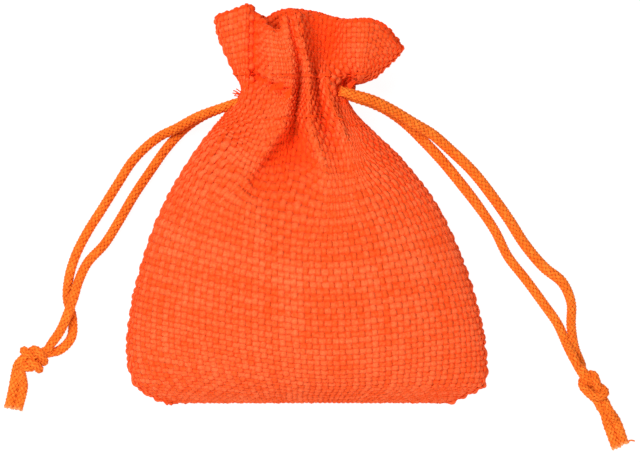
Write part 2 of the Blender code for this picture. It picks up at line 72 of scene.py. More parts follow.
# ---------------------------------------------------------------- the draped form, in millimetres
NECK_Y = 23.0  # where the drawstrings gather the cloth
RIM_Y = 38.0  # mean height of the heading's edge
COLUMNS = 48  # across the front, and as many across the back
FULL_SHADE_DEPTH = 8.5  # depth of a fold at which the painted shade is fullest
PANEL_SHADE = 1.25  # how much painted shade the sunken panel gets against its depth
HEM_SHADE = 6.5  # painted shade of the hem's inside, as a depth in a fold
HEM_PITCH = 1.2  # between two wefts of the hem
HEM_STEP = 0.25  # between two rows of the hem's grid
BACK_PITCH = 1.27  # between two wefts of the back
FLAT_WIDTH = 70.0  # across the sack where nothing gathers it

# y, left end, right end, height of the side edges, heights of the front and the back on the
# middle line, and how full the two halves are.
LEVELS = (
    (-39.9, -28, 28.6, 6.2, 7.6, 4.8, 0.9, 0.9), (-39.3, -30, 30, 6.4, 10, 3, 0.9, 0.86),
    (-38, -32.3, 32.6, 6.8, 13, 1.3, 0.88, 0.8), (-36.2, -34.6, 35.7, 7.3, 15.9, 0.1, 0.86, 0.74),
    (-33, -35.7, 35.9, 8, 19.1, -0.7, 0.84, 0.7), (-28, -36.1, 35.5, 8.8, 21.8, -1, 0.84, 0.7),
    (-20, -35.1, 33.9, 9.6, 23.8, -1.2, 0.84, 0.7),
    (-10.4, -32.7, 30.7, 10, 24.1, -1.2, 0.84, 0.7), (-0.8, -29.1, 26.3, 9.9, 22.9, -1, 0.84, 0.7),
    (8.8, -23.7, 19.1, 9.5, 20.3, -0.4, 0.84, 0.72), (14, -20, 13.9, 9.2, 18.6, 0.6, 0.84, 0.76),
    (18.4, -16.4, 9.7, 9, 17.1, 1.8, 0.84, 0.8), (21, -14.3, 8.4, 8.9, 16.6, 2.6, 0.86, 0.84),
    (23, -13.5, 8.6, 8.9, 16.2, 2.8, 0.88, 0.84), (26, -14.9, 13.2, 8.7, 16.8, 2.5, 0.98, 0.96),
    (30, -16.6, 15.5, 8.3, 17.4, 1.8, 1.1, 1.05), (34.5, -18.2, 17.8, 7.9, 17.5, 1.1, 1.2, 1.1),
    (38, -18.8, 19.3, 7.5, 17.2, 0.6, 1.25, 1.15),
)

# The edge of the heading: share of the way round from the left side seam over the front, and y.
RIM = (
    (0, 37.6), (0.02, 38.3), (0.042, 39.1), (0.055, 39.8), (0.066, 40.1), (0.074, 39.9),
    (0.081, 38.8), (0.092, 36.9), (0.104, 35.8), (0.12, 35.4), (0.14, 35.3), (0.162, 35.2),
    (0.178, 35.5), (0.19, 36.8), (0.202, 38.6), (0.22, 38.9), (0.27, 38.7), (0.31, 38.2),
    (0.345, 37.4), (0.375, 36.9), (0.396, 37), (0.417, 37), (0.432, 37), (0.44, 36.4),
    (0.448, 35.6), (0.458, 34.4), (0.469, 33), (0.479, 32), (0.49, 31.6), (0.5, 31.3),
    (0.51, 31.6), (0.521, 32.4), (0.531, 33.6), (0.542, 34.8), (0.552, 35.8), (0.565, 36.6),
    (0.59, 37.2), (0.62, 37), (0.65, 37.2), (0.69, 38.1), (0.73, 38.8), (0.8, 39.2), (0.825, 38.9),
    (0.845, 38.2), (0.856, 37.4), (0.866, 37.5), (0.89, 38), (0.94, 38.4), (1, 37.6),
)

FRONT_CREASES = (
    # right edge of the left flap
    Crease(6, (
        (21, -13, 0, 0.9), (25, -12.6, -0.6, 0.9), (30, -12.6, -0.8, 0.9), (38, -12, -0.4, 0.8),
    )),
    # valley beside the left flap
    Crease(8, (
        (14, -14.2, 0, 0.6), (19, -11.6, -0.6, 0.5), (22.5, -10.6, -2.2, 0.4),
        (25, -10.2, -3.6, 0.3), (30, -10.3, -4.6, 0.3), (38, -10.2, -4.2, 0.3),
    )),
    # rounded lobe
    Crease(12, (
        (8, -11.6, 0, 1), (13, -9.4, 0.8, 1), (18, -7.4, 1.3, 1), (21, -6.6, 0.8, 1),
        (23, -6.4, 0.3, 1), (25, -6.3, 1.6, 1), (28, -6.5, 2.6, 1), (34, -7.2, 2.8, 1),
        (38, -7.4, 2.6, 1),
    )),
    # right edge of the lobe, beside the deep valley
    Crease(17, (
        (9, -7, 0, 1), (13, -5.2, 0.4, 0.9), (18, -3.8, 0.7, 0.9), (23, -3, 0.4, 0.9),
        (28, -2.9, 1.4, 0.9), (33, -3.7, 1.5, 0.9), (38, -5, 1.3, 0.9),
    )),
    # deep valley left of the middle ridge
    Crease(21, (
        (7, -3.6, 0, 0.6), (10.5, -3.2, -1.2, 0.4), (13.5, -2.7, -3, 0.2), (17, -2.5, -4.4, 0.2),
        (21, -1.8, -4.6, 0.2), (25, -1.5, -3.8, 0.2), (29, -1.7, -2.4, 0.3), (33, -2.5, -1.3, 0.4),
        (38, -3.8, -0.8, 0.5),
    )),
    # middle ridge
    Crease(26, (
        (-8, 2.2, 0, 1), (-2, 3.6, 0.3, 1), (3.8, 3.9, 0.8, 0.9), (8.8, 2.3, 1.2, 0.8),
        (13, 1.2, 1.6, 0.8), (18, 0.5, 1.8, 0.8), (23, 0.3, 1.6, 0.8), (28, -0.2, 1, 0.9),
        (33, -1.3, 0.7, 1), (38, -2.5, 0.6, 1),
    )),
    # valley right of the middle ridge
    Crease(30, (
        (5, 6.8, 0, 0.8), (11, 5.4, -1.8, 0.6), (15, 4, -3.4, 0.4), (18, 2.8, -3.8, 0.2),
        (21, 2.2, -4, 0.2), (25, 1.7, -4.4, 0.3), (29, 1.3, -5.2, 0.6), (33, 1.2, -6.2, 0.9),
        (38, 1.2, -6.2, 1),
    )),
    # right ridge, sinking into the heading's hollow
    Crease(33, (
        (4, 9.4, 0, 0.8), (10, 8.6, 0.6, 0.8), (14.8, 7.1, 1.4, 0.8), (18.8, 5.3, 1.8, 0.8),
        (22, 3.8, 1.4, 0.8), (24.8, 3.1, 0.4, 0.8), (27, 3.2, -2.2, 0.9), (30, 3.7, -5.6, 1),
        (34, 4.2, -7, 1), (38, 4.6, -6.2, 1),
    )),
    # pocket above the right opening, and the hollow's right edge
    Crease(37, (
        (10, 10.6, 0, 0.8), (15, 8.6, 0, 0.8), (18, 7.2, -0.5, 0.5), (21.5, 6.4, -2, 0.3),
        (24, 8, -4.7, 0.4), (25.6, 8.7, -4.6, 0.4), (27.5, 8, -3, 0.5), (29.5, 7.4, -2.7, 0.6),
        (34, 7.2, -2.4, 0.8), (38, 7.4, -2.2, 0.8),
    )),
    # fold of the right flap
    Crease(40, (
        (14, 10.2, 0, 0.8), (19, 8.2, 0.3, 0.7), (22, 7.8, 0.4, 0.6), (24.5, 10, 0.8, 0.5),
        (27, 10.8, 1.2, 0.5), (29.5, 10.8, 1.5, 0.6), (34, 11.2, 1.7, 0.7), (38, 11.2, 1.5, 0.8),
    )),
)
BACK_CREASES = (
    # left valley of the back
    Crease(10, (
        (7, -14.2, 0, 0.6), (14, -11.4, 1.2, 0.4), (23, -10.2, 1.1, 0.5), (30, -9.6, 2.2, 0.4),
        (38, -11, 1.8, 0.5),
    )),
    # left ridge of the back
    Crease(17, ((7, -8.6, 0, 0.9), (23, -5.6, -0.3, 0.8), (38, -5.8, -0.2, 0.9))),
    # middle valley of the back
    Crease(24, (
        (4, -2.4, 0, 0.6), (13, -2.6, 1.8, 0.4), (23, -2, 2.6, 0.3), (30, -1.6, 2.2, 0.4),
        (38, -0.8, 1.4, 0.5),
    )),
    # right ridge of the back
    Crease(31, ((7, 4.6, 0, 0.9), (23, 0.6, -0.3, 0.8), (38, 4.8, -0.2, 0.9))),
    # right valley of the back
    Crease(38, (
        (7, 10.6, 0, 0.6), (15, 6.4, 1.6, 0.4), (23, 3.9, 2.2, 0.3), (30, 7.6, 2, 0.4),
        (38, 10.4, 1.6, 0.5),
    )),
)

# Soft rises and hollows of the front: rows of y, x, half width and height.
SWELLS = (
    ((-6, -15, 4, 0), (2, -15.4, 4, 0.6), (9, -12.6, 3.2, 1), (15, -8.6, 2.6, 0)),
    (
        (21.4, -3.4, 1.3, 0), (22.6, -4.8, 1.6, -2.7), (24, -7, 1.8, -3.9),
        (25.4, -9.4, 1.7, -3.2), (26.8, -11.4, 1.3, 0),
    ),
)

# The sunken panel under the neck, like the mouth of a tent: rows of y, the left and the right
# edge, the depth, and the widths of the left and the right wall.
PANEL = (
    (-12, -6, -1, 0, 4, 4), (-7, -8.4, 1.6, 0.5, 4, 4), (-1, -11.2, 4, 1.2, 3.4, 4.6),
    (3.2, -12.2, 4.6, 1.9, 2.4, 4.8), (7.2, -10, 4, 2.9, 1.5, 4.2),
    (9.6, -8.2, 2.9, 3.6, 1.2, 3.6), (12.2, -6.5, 1.5, 3.6, 1.2, 3), (14.6, -4.6, 0.1, 2.6, 1, 2),
    (17.5, -3.4, -0.9, 0, 1, 1.2),
)

# ---------------------------------------------------------------- how the weave lies on the form
# How far the wefts rise towards the sides: height above the bottom, and the rise's slope.
WEFT_SPREAD = (
    (0, 0.19), (20, 0.2), (35, 0.34), (44, 0.4), (52, 0.25), (58, 0.1), (66, 0.04), (80, 0),
)
# The distance between two wefts, by the height of the level on the form.
WEFT_PITCH = (
    (-40, 1.2), (-33, 1.19), (-25, 1.27), (-15, 1.3), (-10, 1.4), (3, 1.55), (10, 1.46),
    (16, 1.32), (23, 1.2), (38, 1.2),
)

# The two rows of stitches along the casing: x and y, in millimetres.
STITCH_ROWS = (
    ((-14, 25.9), (-8.5, 25.7), (-2, 25.5), (3, 25.2), (9, 26)),
    ((-13, 15), (-5.5, 16.8), (0.5, 17.4), (4, 17), (9, 15.4)),
)

# The tuft of loose yarns at the left opening: each yarn's root, bulge and tip, in millimetres.
FRAY = (
    ((-12.9, 21.5, 9.8), (-13.8, 22.4, 10.6), (-14.8, 22.5, 9.8)),
    ((-12.9, 21.4, 9.8), (-14, 21.8, 10.2), (-14.9, 22.1, 9.4)),
    ((-12.9, 21.3, 9.6), (-13.8, 21.4, 10), (-14.6, 21.6, 9.2)),
    ((-12.8, 21.7, 9.9), (-13.4, 22.5, 10.8), (-14.2, 22.9, 10.2)),
    ((-12.9, 21.6, 9.6), (-14.2, 22.5, 9.8), (-14.4, 21.7, 9.8)),
    ((-12.8, 21.7, 9.9), (-13.6, 21.9, 11), (-14.3, 22.3, 10.5)),
)

# ---------------------------------------------------------------- the drawstrings, in metres
# Each route runs from inside its opening in the neck to its knot.
ROUTES = {
    "left_outer": (
        (-0.0136, 0.0209, 0.0104), (-0.0174, 0.02, 0.0094), (-0.0224, 0.0182, 0.0063),
        (-0.0266, 0.0159, 0.0034), (-0.0297, 0.0135, 0.0014), (-0.0349, 0.0088, 0.001),
        (-0.0383, 0.004, 0.001), (-0.0413, -0.0008, 0.001), (-0.0441, -0.0056, 0.001),
        (-0.0467, -0.0104, 0.001), (-0.0479, -0.0146, 0.001), (-0.048, -0.0188, 0.001),
        (-0.0472, -0.023, 0.001), (-0.0476, -0.0266, 0.0011), (-0.0502, -0.0292, 0.0017),
        (-0.0549, -0.0306, 0.0024),
    ),
    "left_inner": (
        (-0.0136, 0.0207, 0.008), (-0.0174, 0.0196, 0.0068), (-0.0218, 0.0177, 0.0036),
        (-0.025, 0.0152, 0.0014), (-0.0274, 0.0124, 0.001), (-0.0319, 0.0064, 0.001),
        (-0.0351, 0.0016, 0.001), (-0.0379, -0.0032, 0.001), (-0.0407, -0.008, 0.001),
        (-0.0439, -0.012, 0.001), (-0.0454, -0.0156, 0.0014), (-0.0466, -0.0192, 0.0029),
        (-0.048, -0.0218, 0.0033), (-0.05, -0.0248, 0.0026), (-0.0519, -0.0274, 0.0026),
        (-0.0549, -0.0306, 0.0026),
    ),
    "right_outer": (
        (0.0066, 0.023, 0.0136), (0.0096, 0.0226, 0.0129), (0.013, 0.0216, 0.0112),
        (0.017, 0.0197, 0.0084), (0.0212, 0.0166, 0.0053), (0.0252, 0.0136, 0.0026),
        (0.0283, 0.011, 0.0011), (0.0331, 0.0064, 0.001), (0.0369, 0.0016, 0.001),
        (0.0403, -0.0032, 0.001), (0.0435, -0.008, 0.001), (0.0475, -0.0128, 0.001),
        (0.0506, -0.0159, 0.001), (0.0524, -0.0198, 0.001), (0.0526, -0.0242, 0.001),
        (0.0536, -0.0284, 0.001), (0.0556, -0.0322, 0.0014), (0.0573, -0.0364, 0.002),
    ),
    "right_inner": (
        (0.007, 0.0227, 0.011), (0.0098, 0.022, 0.0105), (0.0128, 0.021, 0.0082),
        (0.0164, 0.0191, 0.0052), (0.0204, 0.0159, 0.0024), (0.023, 0.013, 0.0012),
        (0.0265, 0.0088, 0.001), (0.0305, 0.004, 0.001), (0.0343, -0.0008, 0.001),
        (0.0373, -0.0056, 0.001), (0.0399, -0.0104, 0.001), (0.0437, -0.0152, 0.001),
        (0.0471, -0.02, 0.001), (0.0499, -0.0242, 0.001), (0.051, -0.0284, 0.0016),
        (0.053, -0.0325, 0.0037), (0.0573, -0.0364, 0.0036),
    ),
}
# How far a strand lies to the left of its route, by the length from the neck.
STRAND_ASIDE = {
    "left_outer": (
        (0, 0.0006), (0.002, 0.0009), (0.004, 0.00095), (0.0118, 0.00095), (0.0158, 0.0009),
        (0.0202, 0.0001), (0.027, 0.0001), (0.033, 0.0003), (0.0388, 0.0003), (0.0443, 0.0001),
        (0.05, 0.0003), (0.053, 0.0004), (0.0557, 0), (0.06, 0), (0.0653, 0.0004),
        (0.0683, 0.0003),
    ),
    "left_inner": (
        (0, 0.0004), (0.0041, 0.0006), (0.0099, 0.0006), (0.0125, 0.0007), (0.0155, 0.0003),
        (0.0182, 0.0002), (0.0257, 0.0003), (0.0371, 0.0003), (0.0426, 0.0001), (0.0495, -0.0003),
        (0.0521, -0.0004), (0.055, -0.0003), (0.0578, 0), (0.0605, 0.0005), (0.0635, 0.0009),
        (0.0664, 0.0009),
    ),
    "right_outer": (
        (0, -0.0006), (0.003, -0.00095), (0.012, -0.00095), (0.0155, -0.0007), (0.0185, -0.0004),
        (0.0215, -0.0001), (0.0245, 0.0001), (0.03, 0), (0.035, 0), (0.05, 0), (0.0568, -0.0003),
        (0.06, 0.0001), (0.0635, 0.0004), (0.066, 0.0005), (0.0686, 0.0002), (0.0721, 0.0001),
        (0.0764, -0.0003), (0.0807, -0.0009),
    ),
    "right_inner": (
        (0, -0.0007), (0.0016, -0.00095), (0.0052, -0.00095), (0.0092, -0.0007), (0.0129, -0.0006),
        (0.0176, -0.0004), (0.0223, -0.0001), (0.0265, 0.0002), (0.032, 0.0002), (0.038, 0),
        (0.043, 0.0003), (0.05, 0.0001), (0.055, 0), (0.0628, 0.0001), (0.0679, 0.0002),
        (0.0723, 0.0009), (0.0772, 0.0009),
    ),
}
# A strand's size against its own cord's, by the length from the neck.
STRAND_SIZE = {
    "right_outer": ((0, 1), (0.01, 1.12), (0.06, 1.14), (0.068, 1)),
    "right_inner": ((0, 1), (0.014, 1.1), (0.034, 1.12), (0.042, 1)),
}
TAILS = {
    "left_long": (
        (-0.0549, -0.0306, 0.002), (-0.0566, -0.0334, 0.0014), (-0.0578, -0.0364, 0.001),
        (-0.0596, -0.0406, 0.001),
    ),
    "left_short": (
        (-0.0549, -0.0306, 0.003), (-0.0542, -0.0336, 0.0018), (-0.0552, -0.0368, 0.001),
        (-0.0572, -0.0412, 0.001),
    ),
    "right_long": (
        (0.0573, -0.0364, 0.002), (0.059, -0.0404, 0.0013), (0.0606, -0.0446, 0.001),
        (0.062, -0.049, 0.001),
    ),
    "right_short": (
        (0.0573, -0.0364, 0.003), (0.0612, -0.0398, 0.0018), (0.0633, -0.0434, 0.001),
        (0.0647, -0.0478, 0.001),
    ),
}

# The two cords' ways through a knot, in millimetres, which runs along x from strands to tails.
KNOT = (
    (
        (-3.82, 1.27, -0.36), (-2.7, 1.02, -0.39), (-1.61, 0.89, -0.19), (-0.76, 0.86, 0.56),
        (0.14, 0.95, 1.26), (1.21, 0.78, 1.43), (2.02, 0.43, 0.76), (2.11, 0.42, -0.33),
        (1.48, 0.73, -1.18), (0.49, 1.23, -1.19), (-0.11, 1.81, -0.47), (-0.29, 2.27, 0.56),
        (-0.42, 2.2, 1.67), (-0.49, 1.41, 2.42), (-0.32, 0.31, 2.45), (0.13, -0.37, 1.71),
        (0.58, -0.23, 0.72), (0.8, 0.64, 0.09), (1.46, 1.54, 0.09), (2.54, 1.85, 0.09),
        (3.68, 1.91, 0.14),
    ),
    (
        (-3.58, -0.47, -0.31), (-2.43, -0.53, -0.33), (-1.33, -0.64, -0.06), (-0.49, -1.27, 0.31),
        (0.18, -2.06, -0.08), (0.63, -2.32, -1.05), (0.78, -1.76, -2), (0.65, -0.72, -2.42),
        (0.28, 0.36, -2.56), (-0.31, 1.33, -2.45), (-0.96, 1.99, -1.8), (-1.48, 2.29, -0.83),
        (-1.88, 2.18, 0.22), (-2.18, 1.41, 0.95), (-2.24, 0.28, 1.13), (-2.19, -0.86, 1.06),
        (-1.95, -1.75, 0.44), (-1.42, -1.94, -0.52), (-0.59, -1.43, -1.05), (0.42, -0.94, -0.93),
        (1.56, -0.96, -0.78), (2.7, -0.95, -0.66), (3.84, -0.85, -0.52),
    ),
)


class Side(Enum):
    """One of the two drawstrings, by the side that it leaves the neck on."""

    LEFT = "left"
    RIGHT = "right"


class ThreadKind(Enum):
    """The two ways that threads run in the cloth."""

    WARP = "warp"
    WEFT = "weft"


@dataclass(frozen=True)
class KnotPose:
    """How a knot lies on the floor.

    Args:
        middle: its place in plan, in metres.
        heading: the way from its strands to its tails, in degrees from +X.
        roll: its turn about that way, in degrees.
        size: its length, width and height against the drawn knot.
        entries_close: how much closer the strands lie where they enter it than in the drawn knot.
        tails_aside: how far the tails run beside their own routes at three places, in metres.
        squeeze: the cords' size in it against their own.
    """

    middle: tuple[float, float]
    heading: float
    roll: float
    size: tuple[float, float, float]
    entries_close: float
    tails_aside: tuple[float, float, float]
    squeeze: float = 0.90


KNOT_POSES = {
    Side.LEFT: KnotPose(
        (-0.0550, -0.0310), 206.0, 315.0, (0.92, 0.86, 0.72), 0.15, (-0.0021, -0.0013, -0.0004)
    ),
    Side.RIGHT: KnotPose(
        (0.0577, -0.0375), 302.0, 195.0, (1.62, 0.70, 0.70), 0.36, (-0.0013, -0.0010, -0.0008)
    ),
}


# ---------------------------------------------------------------- smooth tables and lines


def cubic(at: np.ndarray, place: np.ndarray, values: np.ndarray, slope: np.ndarray) -> np.ndarray:
    """Reads a curve through given values with given slopes.

    Args:
        at: where to read it.
        place: where the values lie.
        values: a row for each place.
        slope: the curve's slope at each place.

    Returns:
        The values at the places to read.
    """
    i = np.clip(np.searchsorted(place, at, side="right") - 1, 0, len(place) - 2)
    h = (place[i + 1] - place[i])[..., None]
    t = (at - place[i])[..., None] / h
    return (
        (1 + 2 * t) * (1 - t) ** 2 * values[i]
        + t * (1 - t) ** 2 * h * slope[i]
        + t**2 * (3 - 2 * t) * values[i + 1]
        + t**2 * (t - 1) * h * slope[i + 1]
    )


def smooth_table(at: np.ndarray | float, rows: Table) -> np.ndarray:
    """Reads rows of numbers at given places, on a curve that never overshoots a row.

    Args:
        at: the places.
        rows: each row's place, then its values.

    Returns:
        The values at the places, with one more dimension than at.
    """
    table = np.array(rows, float)
    place, values = table[:, 0], table[:, 1:]
    slope = np.diff(values, axis=0) / np.diff(place)[:, None]
    same_way = slope[:-1] * slope[1:] > 0
    mean = 2 * slope[:-1] * slope[1:] / np.where(same_way, slope[:-1] + slope[1:], 1)
    tangent = np.concatenate([slope[:1], np.where(same_way, mean, 0), slope[-1:]])
    return cubic(np.clip(np.asarray(at, float), place[0], place[-1]), place, values, tangent)


def lengths_along(points: np.ndarray) -> np.ndarray:
    """Each point's distance along a line of points."""
    return np.concatenate([[0], np.cumsum(np.linalg.norm(np.diff(points, axis=0), axis=1))])


def evenly(points: np.ndarray, count: int, measured: int = 3) -> np.ndarray:
    """A line of points read again at even distances.

    Args:
        points: its points, with any values of their own after the coordinates.
        count: how many points to read.
        measured: how many of each point's numbers are coordinates.

    Returns:
        The points, with their values.
    """
    along = lengths_along(points[:, :measured])
    at = np.linspace(0, along[-1], count)
    return np.stack([np.interp(at, along, points[:, k]) for k in range(points.shape[1])], axis=1)


def smooth_route(points: np.ndarray, step: float) -> np.ndarray:
    """Close points on a smooth curve through a route's points.

    Args:
        points: the route.
        step: distance between two points of the result, about.

    Returns:
        The points, evenly spaced.
    """
    along = lengths_along(points)
    dense = np.linspace(0, along[-1], 12 * len(points))
    curve = cubic(dense, along, points, np.gradient(points, along, axis=0))
    return evenly(curve, max(3, round(along[-1] / step) + 1))


def softened(rows: np.ndarray, passes: int) -> np.ndarray:
    """Evens out rows between the first and the last, in place.

    Args:
        rows: the rows.
        passes: how often each row is mixed with its neighbours.

    Returns:
        The same rows.
    """
    for _ in range(passes):
        rows[1:-1] = (rows[:-2] + 2 * rows[1:-1] + rows[2:]) / 4
    return rows


def between(grid: np.ndarray, rows: np.ndarray, columns: np.ndarray) -> np.ndarray:
    """A grid's values at places between its rows.

    Args:
        grid: values by row and column.
        rows: the places, which may lie between two rows.
        columns: the column of each place.

    Returns:
        The values.
    """
    whole = rows.astype(int)
    share = (rows - whole)[..., None]
    return grid[whole, columns] * (1 - share) + grid[whole + 1, columns] * share


def unit(vectors: np.ndarray) -> np.ndarray:
    """Vectors scaled to length one."""
    return vectors / np.maximum(np.linalg.norm(vectors, axis=-1, keepdims=True), 1e-12)


def soft_rise(x: np.ndarray | float, start: float, end: float) -> np.ndarray:
    """A soft rise from 0 where x is start to 1 where it is end, above start or below it."""
    share = np.clip((x - start) / (end - start), 0, 1)
    return share * share * (3 - 2 * share)


def how_drawn(y: np.ndarray) -> np.ndarray:
    """How far the cloth is drawn together at given heights, 0 where it lies at its full width."""
    ends = smooth_table(y, [row[:3] for row in LEVELS])
    return 1 - (ends[..., 1] - ends[..., 0]) / FLAT_WIDTH


def level_frame(route: np.ndarray) -> tuple[np.ndarray, np.ndarray]:
    """The level directions ahead and to the left along a route."""
    ahead = unit(np.gradient(route, axis=0) * [1, 1, 0])
    return ahead, np.stack([-ahead[:, 1], ahead[:, 0], 0 * ahead[:, 0]], axis=1)


def triangles(pieces: Sequence[bpy.types.Object]) -> int:
    """How many triangles the pieces' faces make."""
    return sum(len(face.vertices) - 2 for piece in pieces for face in piece.data.polygons)


def report(piece: bpy.types.Object) -> bpy.types.Object:
    """Logs a finished piece with its triangles, and gives it back."""
    LOG.info("%s: %d triangles", piece.name, triangles([piece]))
    return piece


# ---------------------------------------------------------------- node trees


class Wire:
    """A node's output, on which sums and products add Math nodes.

    Args:
        desk: where its tree is built.
        socket: the output.
    """

    def __init__(self, desk: "NodeDesk", socket: bpy.types.NodeSocket) -> None:
        """Keeps the socket with its desk."""
        self.desk, self.socket = desk, socket

    def __add__(self, other: object) -> "Wire":
        """The sum."""
        return self.desk.math("ADD", self, other)

    def __sub__(self, other: object) -> "Wire":
        """The difference."""
        return self.desk.math("SUBTRACT", self, other)

    def __mul__(self, other: object) -> "Wire":
        """The product."""
        return self.desk.math("MULTIPLY", self, other)

    def __truediv__(self, other: object) -> "Wire":
        """The quotient."""
        return self.desk.math("DIVIDE", self, other)


class NodeDesk:
    """A node tree under construction, with short calls to add and join nodes.

    Args:
        tree: the shader or geometry tree.
    """

    def __init__(self, tree: bpy.types.NodeTree) -> None:
        """Starts with the tree as it is."""
        self.tree = tree

    def feed(self, node: bpy.types.Node, inputs: dict) -> None:
        """Sets a node's inputs.

        Args:
            node: the node.
            inputs: by name or number, the value of an input or the wire that feeds it.
        """
        for key, value in inputs.items():
            if isinstance(value, Wire):
                self.tree.links.new(value.socket, node.inputs[key])
            else:
                node.inputs[key].default_value = value

    def node(self, kind: str, inputs: dict | None = None, **settings: object) -> bpy.types.Node:
        """Adds a node.

        Args:
            kind: the node's type name.
            inputs: its inputs, as feed() takes them.
            settings: the node's own properties.

        Returns:
            The node.
        """
        node = self.tree.nodes.new(kind)
        for name, value in settings.items():
            setattr(node, name, value)
        self.feed(node, inputs or {})
        return node

    def add(
        self, kind: str, inputs: dict | None = None, output: int | str = 0, **settings: object
    ) -> Wire:
        """Adds a node, as node does, and gives one of its outputs."""
        return Wire(self, self.node(kind, inputs, **settings).outputs[output])

    def math(self, operation: str, *values: object) -> Wire:
        """The result of a Math node on up to three values or wires."""
        return self.add("ShaderNodeMath", dict(enumerate(values)), operation=operation)

    def vector(self, operation: str, first: Wire, second: object) -> Wire:
        """The result of a Vector Math node, of which Scale takes its factor second."""
        inputs = {0: first, "Scale" if operation == "SCALE" else 1: second}
        return self.add("ShaderNodeVectorMath", inputs, operation=operation)

    def named(self, name: str, kind: str = "FLOAT") -> Wire:
        """A geometry attribute, by its name."""
        return self.add("GeometryNodeInputNamedAttribute", {"Name": name}, data_type=kind)

    def noise(self, scale: float, detail: float, inputs: dict, **settings: object) -> Wire:
        """The strength of a noise at the inputs' Vector."""
        whole = {"Scale": scale, "Detail": detail, **inputs}
        return self.add("ShaderNodeTexNoise", whole, **settings)

    def ramp(self, share: Wire, ends: Sequence[Colour], places: Sequence[float] = (0, 1)) -> Wire:
        """A colour between two ends.

        Args:
            share: where the colour lies between them.
            ends: the two colours.
            places: the shares at which they lie.

        Returns:
            The colour.
        """
        node = self.node("ShaderNodeValToRGB", {0: share})
        for element, colour, place in zip(node.color_ramp.elements, ends, places):
            element.color = (*colour, 1.0)
            element.position = place
        return Wire(self, node.outputs[0])

    def mixed(self, share: Wire, first: Wire, colour: Colour) -> Wire:
        """A wire's colour, mixed with a plain one by share."""
        inputs = {0: share, 6: first, 7: (*colour, 1.0)}
        return self.add("ShaderNodeMix", inputs, 2, data_type="RGBA")

    def stored(
        self, mesh: Wire, name: str, value: object, kind: str = "FLOAT", domain: str = "POINT"
    ) -> Wire:
        """Stores a value on geometry.

        Args:
            mesh: the geometry.
            name: the value's name.
            value: the value, plain or a wire.
            kind: its data type.
            domain: what it is stored on.

        Returns:
            The geometry with the value.
        """
        inputs = {"Geometry": mesh, "Name": name, "Value": value}
        kind_of_node = "GeometryNodeStoreNamedAttribute"
        return self.add(kind_of_node, inputs, data_type=kind, domain=domain)

    def held(self, mesh: Wire, **values: Wire) -> list[Wire]:
        """Holds values on geometry, as they are before it changes.

        Args:
            mesh: the geometry.
            values: the values, by name.

        Returns:
            The geometry, then the held values.
        """
        node = self.node("GeometryNodeCaptureAttribute", {0: mesh})
        for number, (name, value) in enumerate(values.items(), 1):
            kind = "VECTOR" if value.socket.type == "VECTOR" else "FLOAT"
            node.capture_items.new(kind, name)
            self.feed(node, {number: value})
        return [Wire(self, node.outputs[number]) for number in range(len(values) + 1)]

    def faced(self, line: Wire, way: Wire) -> Wire:
        """Turns the profiles of a curve.

        Args:
            line: the curve.
            way: the direction that they face.

        Returns:
            The curve.
        """
        node = self.node("GeometryNodeSetCurveNormal", {0: line}, mode="FREE")
        self.feed(node, {"Normal": way})
        return Wire(self, node.outputs[0])

    def circle(self, sides: object, radius: object = 1.0) -> Wire:
        """A circle of a number of sides."""
        inputs = {"Resolution": sides, "Radius": radius}
        return self.add("GeometryNodeCurvePrimitiveCircle", inputs, mode="RADIUS")

    def tube(self, line: Wire, profile: Wire) -> Wire:
        """A closed tube along a line.

        Args:
            line: the line, with the tube's radius.
            profile: its section.

        Returns:
            The tube's mesh.
        """
        inputs = {"Curve": line, "Profile Curve": profile, "Fill Caps": True}
        node = self.node("GeometryNodeCurveToMesh", inputs)
        if "Scale" in node.inputs:
            self.feed(node, {"Scale": self.add("GeometryNodeInputRadius")})
        return Wire(self, node.outputs[0])

    def thread(self, line: Wire, half: Wire, flat: Wire, sides: Wire, tone: Wire) -> Wire:
        """A flattened thread along a line, with its UV map and its tone.

        Args:
            line: its line, whose normals face across its flat side.
            half: half its width.
            flat: its thickness against its width.
            sides: how many sides its section has.
            tone: its own shade of the dye.

        Returns:
            Its mesh.
        """
        sized = self.add("GeometryNodeSetCurveRadius", {0: line, "Radius": half})
        along = self.add("GeometryNodeSplineParameter", output="Length")
        body, length, own = self.held(sized, length=along, tone=tone)
        shape = self.add("ShaderNodeCombineXYZ", {"X": flat, "Y": 1.0, "Z": 1.0})
        section = {"Geometry": self.circle(sides), "Scale": shape}
        factor = self.add("GeometryNodeSplineParameter", output="Factor")
        profile, around = self.held(self.add("GeometryNodeTransform", section), around=factor)
        place = self.add("ShaderNodeCombineXYZ", {"X": length * 1000.0, "Y": around})
        mapped = self.stored(self.tube(body, profile), "thread", place, "FLOAT2", "CORNER")
        return self.stored(mapped, "tone", own)


